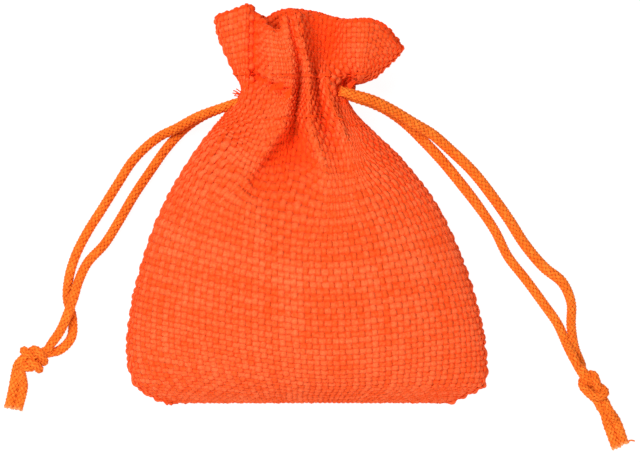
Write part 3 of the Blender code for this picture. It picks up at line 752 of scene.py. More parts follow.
@dataclass
class Recipe:
    """A geometry tree with named inputs, which grows pieces on lines.

    Args:
        name: the tree's name.
        sizes: the values of its inputs, by name.
        tree: the tree, once it is begun.
    """

    name: str
    sizes: dict[str, object]
    tree: bpy.types.NodeTree | None = None

    def begin(self) -> tuple[NodeDesk, dict[str, Wire], Wire]:
        """Starts the tree.

        Returns:
            The desk to build it on, its inputs by name and the curves that it starts from.
        """
        kinds = {float: "Float", int: "Int", bpy.types.Material: "Material"}
        self.tree = bpy.data.node_groups.new(self.name, "GeometryNodeTree")
        sockets = {"Geometry": "Geometry"}
        sockets.update({name: kinds[type(value)] for name, value in self.sizes.items()})
        for name, kind in sockets.items():
            self.tree.interface.new_socket(name, in_out="INPUT", socket_type=f"NodeSocket{kind}")
        self.tree.interface.new_socket(
            "Geometry", in_out="OUTPUT", socket_type="NodeSocketGeometry"
        )
        desk = NodeDesk(self.tree)
        node = desk.node("NodeGroupInput")
        given = {name: Wire(desk, node.outputs[name]) for name in sockets}
        return desk, given, desk.add("GeometryNodeMeshToCurve", {0: given["Geometry"]})

    def end(self, desk: NodeDesk, mesh: Wire, finish: Wire) -> None:
        """Ends the tree in real, smooth geometry with its material.

        Args:
            desk: the desk that it was built on.
            mesh: what it has made.
            finish: the material.
        """
        smooth = desk.add("GeometryNodeSetShadeSmooth", {0: mesh})
        real = desk.add("GeometryNodeRealizeInstances", {"Geometry": smooth})
        dressed = desk.add("GeometryNodeSetMaterial", {"Geometry": real, "Material": finish})
        desk.node("NodeGroupOutput", {"Geometry": dressed})

    def grow(self, name: str, lines: Sequence[Line], **changes: object) -> bpy.types.Object:
        """Runs the tree on lines and keeps the result as a plain mesh.

        Args:
            name: the piece's name.
            lines: what the tree starts from.
            changes: sizes of this piece's own, with _ for a space in their names.

        Returns:
            The piece.
        """
        mesh = line_mesh(name, lines)
        piece = link(name, mesh)
        modifier = piece.modifiers.new(self.name, "NODES")
        modifier.node_group = self.tree
        items = self.tree.interface.items_tree
        sockets = {item.name: item.identifier for item in items if item.in_out == "INPUT"}
        own = {key.replace("_", " "): value for key, value in changes.items()}
        for key, value in {**self.sizes, **own}.items():
            modifier[sockets[key]] = value
        evaluated = piece.evaluated_get(bpy.context.evaluated_depsgraph_get())
        made = bpy.data.meshes.new_from_object(evaluated)
        piece.modifiers.clear()
        piece.data = made
        bpy.data.meshes.remove(mesh)
        made.name = name
        return report(piece)


def link(name: str, data: bpy.types.ID) -> bpy.types.Object:
    """Puts an object in the scene.

    Args:
        name: its name.
        data: its mesh, light or camera.

    Returns:
        The object.
    """
    obj = bpy.data.objects.new(name, data)
    bpy.context.scene.collection.objects.link(obj)
    return obj


def line_mesh(name: str, lines: Sequence[Line]) -> bpy.types.Mesh:
    """A mesh of open lines, with values on their points.

    Args:
        name: the mesh's name.
        lines: each line's points, in metres, and its other values.

    Returns:
        The mesh.
    """
    whole = {key: np.concatenate([line[key] for line in lines]) for key in lines[0]}
    points = whole.pop("points")
    ends = np.cumsum([len(line["points"]) for line in lines]) - 1
    starts = np.delete(np.arange(len(points)), ends)
    mesh = bpy.data.meshes.new(name)
    mesh.vertices.add(len(points))
    mesh.vertices.foreach_set("co", points.astype(np.float32).ravel())
    mesh.edges.add(len(starts))
    pairs = np.stack([starts, starts + 1], axis=1)
    mesh.edges.foreach_set("vertices", pairs.astype(np.int32).ravel())
    for key, values in whole.items():
        kind, field = ("FLOAT_VECTOR", "vector") if values.ndim == 2 else ("FLOAT", "value")
        attribute = mesh.attributes.new(key, kind, "POINT")
        attribute.data.foreach_set(field, values.astype(np.float32).ravel())
    mesh.update()
    return mesh


# ---------------------------------------------------------------- finishes


def new_material(name: str, values: dict[str, object]) -> tuple[bpy.types.Material, NodeDesk]:
    """Starts a material.

    Args:
        name: its name.
        values: plain values of its shader's own sockets.

    Returns:
        The material and the desk of its tree.
    """
    material = bpy.data.materials.new(name)
    material.use_nodes = True
    desk = NodeDesk(material.node_tree)
    desk.feed(material.node_tree.nodes["Principled BSDF"], {"Specular IOR Level": 0.1, **values})
    return material, desk


@dataclass(frozen=True)
class ThreadFinish:
    """Fuzzy spun thread: its dye is a little uneven, and fine fibres run along it.

    Args:
        name: the material's name.
        colour: the dye.
        worn: the same where it is palest.
        painted_shade: the colour painted where the cloth lies in a fold or a thread dips, as shade.
        cut: the same at a cut end, where the fibres stand open.
        fibre: how strongly the fibres show.
        patchy: how uneven the dye is from one crossing to the next.
        sheen: how much the fuzz catches the light.
    """

    name: str
    colour: Colour
    worn: Colour
    painted_shade: Colour
    cut: Colour = (0.98, 0.42, 0.16)
    fibre: float = 0.5
    patchy: float = 1.15
    sheen: float = 0.12

    def make(self) -> bpy.types.Material:
        """Builds the material, which reads the thread's UV map and its object's coordinates.

        Returns:
            The material.
        """
        fuzz = {"Sheen Weight": self.sheen, "Sheen Roughness": 0.5}
        fuzz["Sheen Tint"] = (1.0, 0.35, 0.12, 1.0)
        material, desk = new_material(self.name, {"Roughness": 0.85, **fuzz})
        uv = desk.add("ShaderNodeUVMap", uv_map="thread")
        stretched = desk.add("ShaderNodeMapping", {"Vector": uv, "Scale": (0.9, 9.0, 1.0)})
        fibres = desk.noise(2.2, 3.0, {"Vector": stretched, "Roughness": 0.6})
        place = desk.add("ShaderNodeTexCoord", output="Object")
        dye = desk.noise(170.0, 2.0, {"Vector": place})
        patches = desk.noise(2100.0, 3.0, {"Vector": place, "Roughness": 0.6})
        tone, depth, frayed = (
            desk.add("ShaderNodeAttribute", output="Fac", attribute_name=name)
            for name in ("tone", "depth", "frayed")
        )
        share = dye * 0.55 + tone * 0.35 + (fibres * self.fibre - 0.28)
        share = share + (patches * self.patchy - 0.5 * self.patchy)
        dyed = desk.ramp(share, (self.colour, self.worn), (0.2, 0.85))
        # painted shade: the depth attribute mixes the dyed colour towards painted_shade
        sunk = desk.math("MINIMUM", desk.math("POWER", depth, 1.3), 0.9)
        colour = desk.mixed(frayed, desk.mixed(sunk, dyed, self.painted_shade), self.cut)
        bump = {"Height": fibres, "Strength": 0.35, "Distance": 0.00006}
        raised = desk.add("ShaderNodeBump", bump)
        shader = material.node_tree.nodes["Principled BSDF"]
        desk.feed(shader, {"Base Color": colour, "Normal": raised})
        return material


@dataclass(frozen=True)
class GrainFinish:
    """An even surface with a fine grain: the lining behind the threads, coloured as the painted shade
    in the gaps between them, or plain paper.

    Args:
        name: the material's name.
        low: its colour where the grain is darkest.
        high: the same where it is palest.
        scale: of the grain.
        detail: of the grain.
        roughness: of the shader.
        bump: how strongly the grain stands out.
        glow: how much light the surface gives by itself.
    """

    name: str
    low: Colour
    high: Colour
    scale: float
    detail: float
    roughness: float
    bump: float = 0.0
    glow: float = 0.0

    def make(self) -> bpy.types.Material:
        """Builds the material from noise in object coordinates.

        Returns:
            The material.
        """
        values = {"Roughness": self.roughness, "Emission Strength": self.glow}
        material, desk = new_material(self.name, {**values, "Emission Color": (1.0,) * 4})
        place = desk.add("ShaderNodeTexCoord", output="Object")
        grain = desk.noise(self.scale, self.detail, {"Vector": place})
        colour = desk.ramp(grain, (self.low, self.high))
        bump = {"Height": grain, "Strength": self.bump, "Distance": 0.0001}
        shader = material.node_tree.nodes["Principled BSDF"]
        desk.feed(shader, {"Base Color": colour, "Normal": desk.add("ShaderNodeBump", bump)})
        return material


# the third colour of each thread finish is its painted shade, for folds and dips
CORD_YARN = ThreadFinish("cord yarn", (0.84, 0.15, 0.010), (0.97, 0.26, 0.030), (0.7, 0.08, 0.006))
BURLAP_THREAD = ThreadFinish(
    "burlap thread", (0.88, 0.083, 0.011), (0.97, 0.168, 0.054), (0.88, 0.058, 0.003)
)
# painted shade: the lining is darker than the threads, as the shade in the gaps between them
BURLAP_GAP_SHADE = GrainFinish(
    "burlap gap shade", (0.88, 0.050, 0.003), (0.97, 0.085, 0.008), 900.0, 4.0, 0.95, bump=0.6
)
PALE_PAPER = GrainFinish("pale paper", (0.1182,) * 3, (0.12,) * 3, 600.0, 2.0, 0.9, glow=0.95)


# ---------------------------------------------------------------- studio


@dataclass
class Studio:
    """The camera straight above, the floor and the light.

    Args:
        centre_x, centre_y: the middle of the picture, in metres.
        height: of the camera.
        width: of the picture on the floor.
        floor_half: half the floor's side.
        floor_drop: how far the floor lies under the sack.
    """

    centre_x: float = 0.0025
    centre_y: float = -0.0054
    height: float = 2.0
    width: float = 0.128
    floor_half: float = 1.5
    floor_drop: float = 0.05 * MM

    def camera(self) -> None:
        """Places a long lens straight above."""
        data = bpy.data.cameras.new("camera")
        data.sensor_width = 36.0
        data.lens = data.sensor_width * self.height / self.width
        data.clip_start, data.clip_end = 0.1, 20.0
        camera = link("camera", data)
        camera.location = (self.centre_x, self.centre_y, self.height)
        bpy.context.scene.camera = camera

    def floor(self) -> None:
        """Lays the pale floor just under the sack."""
        mesh = bpy.data.meshes.new("floor")
        half, height = self.floor_half, -self.floor_drop
        corners = [(x * half, y * half, height) for x, y in ((-1, -1), (1, -1), (1, 1), (-1, 1))]
        mesh.from_pydata(corners, [], [(0, 1, 2, 3)])
        mesh.materials.append(PALE_PAPER.make())
        link("floor", mesh)

    def light(self) -> None:
        """Sets a large soft light at the upper left, a weaker one below and a pale surround."""
        for name, place, size, energy in (
            ("soft box", (-0.34, 0.28, 0.72), 0.42, 6.2),
            ("fill light", (0.26, -0.60, 0.52), 0.60, 3.4),
        ):
            data = bpy.data.lights.new(name, "AREA")
            data.shape = "DISK"
            data.size = size
            data.energy = energy
            lamp = link(name, data)
            lamp.location = place
            lamp.rotation_euler = (-lamp.location).to_track_quat("-Z", "Y").to_euler()
        world = bpy.data.worlds.new("surround")
        world.use_nodes = True
        surround = world.node_tree.nodes["Background"].inputs
        surround["Color"].default_value = (1, 1, 1, 1)
        surround["Strength"].default_value = 0.42
        bpy.context.scene.world = world
        bpy.context.scene.view_settings.view_transform = "Standard"


# ---------------------------------------------------------------- the cloth's form


@dataclass
class DrapedForm:
    """The cloth's middle surface, from the back's hem under the bottom fold to the front's hem.

    Args:
        fine: grid columns between two columns of the crease tables.
        row_step: between two rows on the body, in millimetres.
        fold_reach: height of the bottom fold, where the rows lie closer.
        oval_points: on each section before it is folded.
        crease_reach: how far under its first row a crease begins to draw the columns to it.
        sharpness: how steeply the cloth leaves a sharp crease.
        depth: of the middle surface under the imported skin, in millimetres.
        hem_turn: radius of the rim's fold.
        hem_length: of the cloth turned down inside the rim.
        rim_drop: of the cloth's last row under the heading's edge, where its fold stands.
        softening: passes that round each section's folds.
    """

    fine: int = 8
    row_step: float = 0.75
    fold_reach: float = 1.9
    oval_points: int = 721
    crease_reach: float = 9.0
    sharpness: float = 1.7
    depth: float = 0.52
    hem_turn: float = 0.45
    hem_length: float = 6.0
    rim_drop: float = 1.0
    softening: int = 44

    def relief(self, x: np.ndarray, level: float) -> tuple[np.ndarray, np.ndarray]:
        """The front's soft rises and its sunken panel at one level.

        Args:
            x: places across the sack, in millimetres.
            level: their y.

        Returns:
            How far they lift the cloth, and the painted shade of the sunken panel, as a depth.
        """
        lifted = np.zeros_like(x)
        for swell in SWELLS:
            centre, reach, height = smooth_table(level, swell)
            away = np.clip(np.abs(x - centre) / reach, 0, 1)
            lifted += height * (1 - away**2.4) ** 2
        left_edge, right_edge, sunk, left_wall, right_wall = smooth_table(level, PANEL)
        inside = soft_rise(x, left_edge, left_edge + left_wall)
        inside = inside * soft_rise(x, right_edge, right_edge - right_wall)
        # the second value is the painted shade over the sunken panel
        return lifted - sunk * inside, PANEL_SHADE * sunk * inside

    def half_section(self, level: float, front: bool) -> np.ndarray:
        """The front or back of one level, folded.

        Args:
            level: its y, in millimetres.
            front: whether it is the front.

        Returns:
            Its points from left to right, as x, z and their painted shade: how deep in a fold they
            lie, and on the front the sunken panel's painted shade.
        """
        left, right, edge, top, bottom, front_full, back_full = smooth_table(level, LEVELS)
        rise, full = (top - edge, front_full) if front else (bottom - edge, back_full)
        angle = np.linspace(0, math.pi, self.oval_points)
        x = (left + right) / 2 - (right - left) / 2 * np.cos(angle)
        oval = evenly(np.stack([x, edge + rise * np.sin(angle) ** full], axis=1), self.oval_points)
        share = np.linspace(0, 1, len(oval))
        stations = [(0, 0.0, 0.0, 1.0)]
        for crease in FRONT_CREASES if front else BACK_CREASES:
            natural, start = crease.column / COLUMNS, crease.points[0][0]
            crease_x, height, roundness = smooth_table(level, crease.points)
            own = np.interp(crease_x, oval[:, 0], share)
            pull = soft_rise(level, start - self.crease_reach, start)
            height = height if level > start else 0.0
            stations.append((crease.column, natural + (own - natural) * pull, height, roundness))
        stations.append((COLUMNS, 1.0, 0.0, 1.0))
        parts = []
        for (c0, p0, h0, r0), (c1, p1, h1, r1) in zip(stations, stations[1:]):
            t = np.linspace(0, 1, (c1 - c0) * 16 + 1)
            x, z = (np.interp(p0 + (p1 - p0) * t, share, oval[:, k]) for k in (0, 1))
            m0, m1 = self.sharpness * (1 - r0), self.sharpness * (1 - r1)
            bend = t * t * (3 - 2 * t) + m0 * t * (1 - t) ** 2 + m1 * t * t * (t - 1)
            fold = h0 + (h1 - h0) * bend
            z = z + fold
            if front:
                lifted, shade = self.relief(x, level)
                z, fold = z + lifted, shade - fold - lifted
            else:
                z = np.maximum(z, 0.0)
            # the third number sets the painted shade: how deep in a fold the point lies, and on the
            # front the sunken panel's painted shade
            points = np.stack([x, z, np.clip(fold, 0, 9)], axis=1)
            parts.append(evenly(points, (c1 - c0) * self.fine + 1, 2)[:-1])
        return softened(np.concatenate([*parts, points[-1:]]), self.softening)

    def half_rows(self, levels: np.ndarray, front: bool) -> np.ndarray:
        """The front's or back's grid of points, in millimetres.

        Args:
            levels: the rows' levels.
            front: whether it is the front.

        Returns:
            Points by row and column, each with its painted shade, as a depth in a fold, as a fourth
            number.
        """
        share = np.linspace(0, 0.5, COLUMNS * self.fine + 1)
        rim = smooth_table(share if front else 1 - share, RIM)[:, 0]
        rows = []
        for level in levels:
            x, z, fold = self.half_section(float(level), front).T
            rise = max(level - NECK_Y, 0) / (RIM_Y - NECK_Y)
            y = min(level, NECK_Y) + rise * (rim - self.rim_drop - NECK_Y)
            rows.append(np.stack([x, y, z, fold], axis=1))
        return np.array(rows)

    def build(self) -> None:
        """Works out the middle surface and its outward directions, with the hems turned in."""
        low, reach = LEVELS[0][0], self.fold_reach
        near_fold = low + reach * np.linspace(0, 1, 9)[:-1] ** 2
        body = np.arange(low + reach, RIM_Y, self.row_step)
        self.levels = np.concatenate([near_fold, body, [RIM_Y]])
        front, back = self.half_rows(self.levels, True), self.half_rows(self.levels, False)
        middle, half = (front[0] + back[0]) / 2, (front[0] - back[0]) / 2
        out = np.linalg.norm(half, axis=1)[:, None] * np.array([[0, 0.05, 0, 0]])
        turn = np.radians([-60, -30, 0, 30, 60])
        fold = [middle + half * math.sin(a) + out * math.cos(a) for a in turn]
        whole = np.concatenate([back[::-1], fold, front])
        skin, count = whole[..., :3], len(self.levels)
        self.fold_row, self.front_row = count + len(fold) // 2, count + len(fold)
        up = np.gradient(skin, axis=0)
        normal = unit(np.cross(np.gradient(skin, axis=1), up)).swapaxes(0, 1)
        normal = unit(softened(normal, 6).swapaxes(0, 1))
        for seam in (0, -1):
            both = unit(normal[self.front_row :, seam] + normal[:count, seam][::-1])
            normal[self.front_row :, seam] = both
            normal[:count, seam] = both[::-1]
        along = np.linalg.norm(np.diff(skin, axis=0), axis=2)
        self.arc = np.concatenate([np.zeros((1, skin.shape[1])), np.cumsum(along, axis=0)])
        self.arc -= self.arc[self.fold_row]
        self.skin = skin
        front_hem = self.hem(skin, normal, up)
        back_hem = self.hem(skin[::-1], normal[::-1], -up[::-1])
        self.hem_rows = len(front_hem[0])
        surface = (skin - normal * self.depth, normal)
        self.middle, self.normal = (
            np.concatenate([back_hem[k][::-1], surface[k], front_hem[k]]) for k in (0, 1)
        )
        # painted shade: the hems' rows inside the sack get the painted shade of a deep fold
        inside = np.full((self.hem_rows, skin.shape[1]), HEM_SHADE)
        self.painted_shade_depth = np.concatenate([inside, whole[..., 3], inside])

    def hem(
        self, skin: np.ndarray, normal: np.ndarray, up: np.ndarray
    ) -> tuple[np.ndarray, np.ndarray]:
        """The cloth beyond the last row of a grid: over the rim and down inside.

        Args:
            skin: the grid's points.
            normal: its outward directions.
            up: its directions towards the last row.

        Returns:
            The middle surface's points and outward directions, HEM_STEP apart.
        """
        out, rise = normal[-1], unit(up[-1])
        flat, flat_out = skin[::-1], normal[::-1]
        along = np.cumsum(np.linalg.norm(np.diff(flat, axis=0), axis=2), 0)
        arc = np.concatenate([np.zeros((1, skin.shape[1])), along])
        column = np.arange(skin.shape[1])
        places, ways = [], []
        for at in np.arange(HEM_STEP, self.hem_length, HEM_STEP):
            angle = at / self.hem_turn
            down = at - self.hem_turn * math.pi
            if down <= 0:
                inward = self.depth + self.hem_turn * (1 - math.cos(angle))
                places.append(skin[-1] - out * inward + rise * self.hem_turn * math.sin(angle))
                ways.append(out * math.cos(angle) + rise * math.sin(angle))
                continue
            below = np.argmax(arc >= down, axis=0)
            start = arc[below - 1, column]
            row = below - 1 + (down - start) / np.maximum(arc[below, column] - start, 1e-9)
            way = unit(between(flat_out, row, column))
            places.append(between(flat, row, column) - way * (self.depth + 2 * self.hem_turn))
            ways.append(-way)
        return np.array(places), np.array(ways)


# ---------------------------------------------------------------- the weave on the form


@dataclass
class Weave:
    """Where the threads of the cloth lie on the draped form.

    Args:
        form: the draped form.
        warps: threads up the cloth, across one face.
        quarters: points for each crossing.
        even_level: the level from which the wefts follow their levels, in millimetres.
        front_start: along the cloth from the middle of the bottom fold to the front's lowest level.
        back_start: the same to the back's.
    """

    form: DrapedForm
    warps: int = 62
    quarters: int = 4
    even_level: float = -33.0
    front_start: float = 1.4
    back_start: float = 3.0

    def lift(self, x: np.ndarray, level: float) -> np.ndarray:
        """How far a weft of the front has risen above its own level.

        Args:
            x: places across the sack, in millimetres.
            level: the weft's level at the middle.

        Returns:
            The rise at each place.
        """
        height = level + 40
        side = x - 1.5
        bend = smooth_table(height, WEFT_SPREAD)[0] * (np.sqrt(side**2 + 81) - 9)
        slant = -0.055 * side * soft_rise(height, 66, 46)
        peak = 3.2 * soft_rise(height, 34, 44) * soft_rise(height, 64, 53)
        return bend + slant + peak * np.exp(-(((x + 3) / 4.5) ** 2))

    def build(self) -> None:
        """Reads the form again at every quarter of a weft's pitch."""
        form, levels, q = self.form, self.form.levels, self.quarters
        top = smooth_table(levels, [(row[0], row[4]) for row in LEVELS])[:, 0]
        reference = lengths_along(np.stack([levels, top], axis=1)) + self.front_start
        pitch = smooth_table(levels, WEFT_PITCH)[:, 0]
        number = np.concatenate([[0], np.cumsum(np.diff(reference) / pitch[1:])])
        number += self.front_start / HEM_PITCH
        self.front_wefts = int(number[-1])
        number *= (self.front_wefts + 0.5) / number[-1]
        back_number = (levels - levels[0] + self.back_start) / BACK_PITCH
        self.back_wefts = int(back_number[-1])
        back_number *= (self.back_wefts + 0.5) / back_number[-1]
        hem_wefts = int(form.hem_length / HEM_PITCH)
        first, last = -(self.back_wefts + hem_wefts) * q, (self.front_wefts + hem_wefts) * q
        self.numbers = np.arange(first, last + 1) / q
        columns = np.arange(form.skin.shape[1])
        row_of_level, row_of_arc = np.arange(len(levels)), np.arange(len(form.arc))
        x_at = form.skin[form.front_row :, :, 0]
        even = self.even_level
        spot = even + self.lift(x_at[np.searchsorted(levels, even)], even)
        front_arc = form.arc[form.front_row :]
        extra = np.array([np.interp(s, levels, front_arc[:, c]) for c, s in zip(columns, spot)])
        extra -= float(np.interp(even, levels, reference))
        rows = np.empty((len(self.numbers), len(columns)))
        for m, n in enumerate(self.numbers):
            if n > self.front_wefts + 0.5:
                beyond = (n - self.front_wefts - 0.5) * HEM_PITCH / HEM_STEP
                rows[m] = len(form.skin) - 1 + beyond
                continue
            if n < -self.back_wefts - 0.5:
                rows[m] = (n + self.back_wefts + 0.5) * HEM_PITCH / HEM_STEP
                continue
            if n >= 0:
                level = float(np.interp(n, number, levels))
                x = x_at[min(np.searchsorted(levels, level), len(levels) - 1)]
                target = level + self.lift(x, level)
                rows[m] = form.front_row + np.interp(target, levels, row_of_level)
                by_level = soft_rise(level, -37, -32)
            else:
                level = float(np.interp(-n, back_number, levels))
                target = level - extra * soft_rise(level, 20, -30)
                rows[m] = len(levels) - 1 - np.interp(target, levels, row_of_level)
                by_level = soft_rise(level, -34, -26)
            if by_level < 1:
                goal = extra + (np.interp(n, number, reference) if n > number[0] else n * HEM_PITCH)
                by_arc = [np.interp(g, form.arc[:, c], row_of_arc) for c, g in zip(columns, goal)]
                rows[m] = np.array(by_arc) * (1 - by_level) + rows[m] * by_level
        rows = np.maximum.accumulate(rows, axis=0) + form.hem_rows
        rows = np.clip(rows, 0, len(form.middle) - 1.001)
        self.points = between(form.middle, rows, columns)
        self.ways = unit(between(form.normal, rows, columns))
        self.painted_shade_depth = form.painted_shade_depth[rows.astype(int), columns]
        LOG.info("weave: %d wefts on the front, %d on the back", self.front_wefts, self.back_wefts)

    def at_columns(self, place: np.ndarray) -> tuple[np.ndarray, np.ndarray]:
        """Reads the grid between its columns.

        Args:
            place: the places across it, in columns.

        Returns:
            The points and the outward directions there.
        """
        place = np.clip(place, 0, self.points.shape[1] - 1.001)
        whole = place.astype(int)
        share = (place - whole)[:, None]
        points, ways = (
            grid[:, whole] * (1 - share) + grid[:, whole + 1] * share
            for grid in (self.points, self.ways)
        )
        return points, unit(ways)

    def gathers(self) -> np.ndarray:
        """How far the warps stand proud of the wefts.

        Returns:
            A number from 0 to 1 for each grid point.
        """
        level = self.points[..., 1]
        drawn = how_drawn(level)
        column = np.arange(self.points.shape[1]) / self.form.fine
        heading = soft_rise(level, 26, 30)
        folds = soft_rise(column, 17, 21) * (1 - heading * soft_rise(column, 35, 39))
        neck = soft_rise(drawn, 0.26, 0.60) * (0.25 * (1 - heading) + 0.75 * folds)
        right, left = soft_rise(column, 31, 39), 0.8 * soft_rise(column, 14, 6)
        shoulders = np.maximum(right, left) * soft_rise(drawn, 0.03, 0.36) * (1 - heading)
        edges = soft_rise(np.minimum(column, COLUMNS - column), 2.4, 0.2)
        return np.maximum(np.maximum(neck, 0.85 * shoulders), 0.85 * edges)

    def lines(self, kind: ThreadKind) -> list[Line]:
        """The threads of one kind.

        Args:
            kind: warps or wefts.

        Returns:
            Each thread's points in metres, outward directions, places among the crossings, room
            on each side, own number, its painted shade from how deep in a fold it lies, and how far
            the warps stand proud there, both from 0 to 1.
        """
        q, last = self.quarters, self.points.shape[1] - 1
        per_warp, warp = last / self.warps, kind is ThreadKind.WARP
        middles = (np.arange(self.warps) + 0.5) * per_warp
        place = middles if warp else np.linspace(0, last, self.warps * q + 1)
        points, ways = self.at_columns(place)
        if warp:
            beside, before = (self.at_columns(place + per_warp * way)[0] for way in (0.25, -0.25))
            room = np.linalg.norm(beside - before, axis=2)
            number = np.arange(self.warps) + 0 * room
            crossing = self.numbers[:, None] + number
        else:
            room = np.linalg.norm(np.gradient(points, axis=0), axis=2) * q / 2
            number = np.round(self.numbers)[:, None] + 0 * room
            crossing = place / per_warp - 0.5 + number + 1
        near = np.round(place).astype(int)
        grids = {
            "points": points * MM,
            "way": ways,
            "crossing": crossing,
            "room": room * MM,
            "number": number,
            # painted shade, from the depth of the fold
            "depth": self.painted_shade_depth[:, near] / FULL_SHADE_DEPTH,
            "proud": self.gathers()[:, near],
        }
        grids = {k: np.swapaxes(grid, 0, 1) if warp else grid[::q] for k, grid in grids.items()}
        return [{k: grid[i] for k, grid in grids.items()} for i in range(len(grids["room"]))]


@dataclass
class Cloth:
    """The sack's cloth: a thin lining sheet and the threads woven over it.

    Args:
        weave: where the threads lie.
        finish: the threads' material.
        thread_width: across a thread that has room.
        thread_thickness: through it.
        warp_crimp: how far a warp rises and sinks from the cloth's middle.
        weft_crimp: the same for a weft, which is stiffer.
        sheet_rise: from the middle surface out to the lining sheet.
        spread_rise: how much further out the sheet lies where the cloth isn't gathered.
        sheet_thickness: of the lining sheet.
    """

    weave: Weave
    finish: bpy.types.Material
    thread_width: float = 1.90 * MM
    thread_thickness: float = 0.86 * MM
    warp_crimp: float = 0.25 * MM
    weft_crimp: float = 0.13 * MM
    sheet_rise: float = 0.11 * MM
    spread_rise: float = 0.04 * MM
    sheet_thickness: float = 0.18 * MM

    def recipe(self) -> Recipe:
        """The geometry tree that turns lines into crimped, flattened threads.

        Returns:
            The recipe.
        """
        sizes = {
            "Thread width": self.thread_width,
            "Thread thickness": self.thread_thickness,
            "Crimp height": self.warp_crimp,
            "Gathered lift": 0.14 * MM,
            "Sunk shade": 0.75,
            "Shade turn": -0.9,
            "Wobble": 0.66 * MM,
            "Slub": 0.66,
            "Sides": 5,
            "Seed": 7,
            "Finish": self.finish,
        }
        recipe = Recipe("woven threads", sizes)
        desk, given, line = recipe.begin()
        way, number, room = desk.named("way", "FLOAT_VECTOR"), desk.named("number"), desk.named("room")
        place = desk.add("GeometryNodeInputPosition")
        slub, wander = (
            desk.noise(scale, 2.0, {"Vector": place, "W": number}, noise_dimensions="4D") - 0.5
            for scale in (460.0, 330.0)
        )
        phase = desk.named("crossing") * math.pi
        wave = desk.math("COSINE", phase)
        square = desk.math("POWER", desk.math("ABSOLUTE", wave), 0.65)
        crimp = square * desk.math("SIGN", wave) * given["Crimp height"]
        crimp = crimp * desk.math("MULTIPLY_ADD", slub, 0.9, 1.0)
        crimp = crimp * desk.math("MINIMUM", room / (0.55 * MM), 1.0)
        lift = crimp + desk.named("proud") * given["Gathered lift"]
        beside = desk.vector("CROSS_PRODUCT", desk.add("GeometryNodeInputTangent"), way)
        aside = desk.vector("SCALE", beside, wander * given["Wobble"])
        offset = desk.vector("ADD", desk.vector("SCALE", way, lift), aside)
        moved = desk.add("GeometryNodeSetPosition", {"Geometry": line, "Offset": offset})
        # painted shade: darker where a thread dips, moved by Shade turn to the lower side of each
        # crossing as if lit from above, and added to the fold's painted shade
        low_side = desk.math("COSINE", phase + given["Shade turn"])
        sunk = desk.add("ShaderNodeMapRange", {0: low_side, 1: 0.5, 2: -0.6, 3: 0.0, 4: 1.0})
        shade = sunk * given["Sunk shade"] + desk.named("depth")
        faced = desk.faced(desk.stored(moved, "depth", shade), way)
        chance = {"ID": desk.add("FunctionNodeFloatToInt", {0: number}), "Seed": given["Seed"]}
        own = desk.add("FunctionNodeRandomValue", chance, 1, data_type="FLOAT")
        half = desk.math("MINIMUM", room * 1.06, given["Thread width"] * 0.5)
        half = half * desk.math("MULTIPLY_ADD", slub, given["Slub"], 1.0)
        half = half * desk.math("MULTIPLY_ADD", own, 0.12, 0.94)
        flat = given["Thread thickness"] / given["Thread width"]
        recipe.end(desk, desk.thread(faced, half, flat, given["Sides"], own), given["Finish"])
        return recipe

    def threads(self) -> list[bpy.types.Object]:
        """Lays the threads, in pieces of one kind and one part of the cloth.

        Returns:
            The pieces, the tuft among them.
        """
        recipe = self.recipe()
        weft = {"Crimp_height": self.weft_crimp, "Gathered_lift": -0.24 * MM}
        weft.update(Sunk_shade=0.34, Shade_turn=0.0)
        made = []
        for kind, changes in ((ThreadKind.WARP, {}), (ThreadKind.WEFT, weft)):
            lines = self.weave.lines(kind)
            bounds = np.linspace(0, len(lines), 5).astype(int)
            for part, (start, end) in enumerate(zip(bounds, bounds[1:]), 1):
                name = f"{kind.value}_threads_{part}"
                made.append(recipe.grow(name, lines[start:end], **changes))
        thin = {"Thread_width": 0.30 * MM, "Thread_thickness": 0.24 * MM, "Crimp_height": 0.0}
        made.append(recipe.grow("frayed_tuft", self.fray(), **thin))
        return made

    def fray(self) -> list[Line]:
        """The loose yarns at the left opening, as curves over their bulges.

        Returns:
            Their lines.
        """
        t = np.linspace(0, 1, 9)[:, None]
        flat = np.zeros(len(t))
        lines = []
        for number, yarn in enumerate(FRAY):
            root, bulge, tip = np.array(yarn) * MM
            line = {"points": (1 - t) ** 2 * root + 2 * t * (1 - t) * bulge + t**2 * tip}
            line["way"] = np.broadcast_to([0.0, 0.0, 1.0], (len(t), 3))
            line.update(crossing=flat, room=flat + 0.12 * MM, number=flat + number, proud=flat)
            # painted shade: deepest at the root in the opening, lighter towards the tip
            line["depth"] = 0.8 - 0.4 * t[:, 0]
            lines.append(line)
        return lines

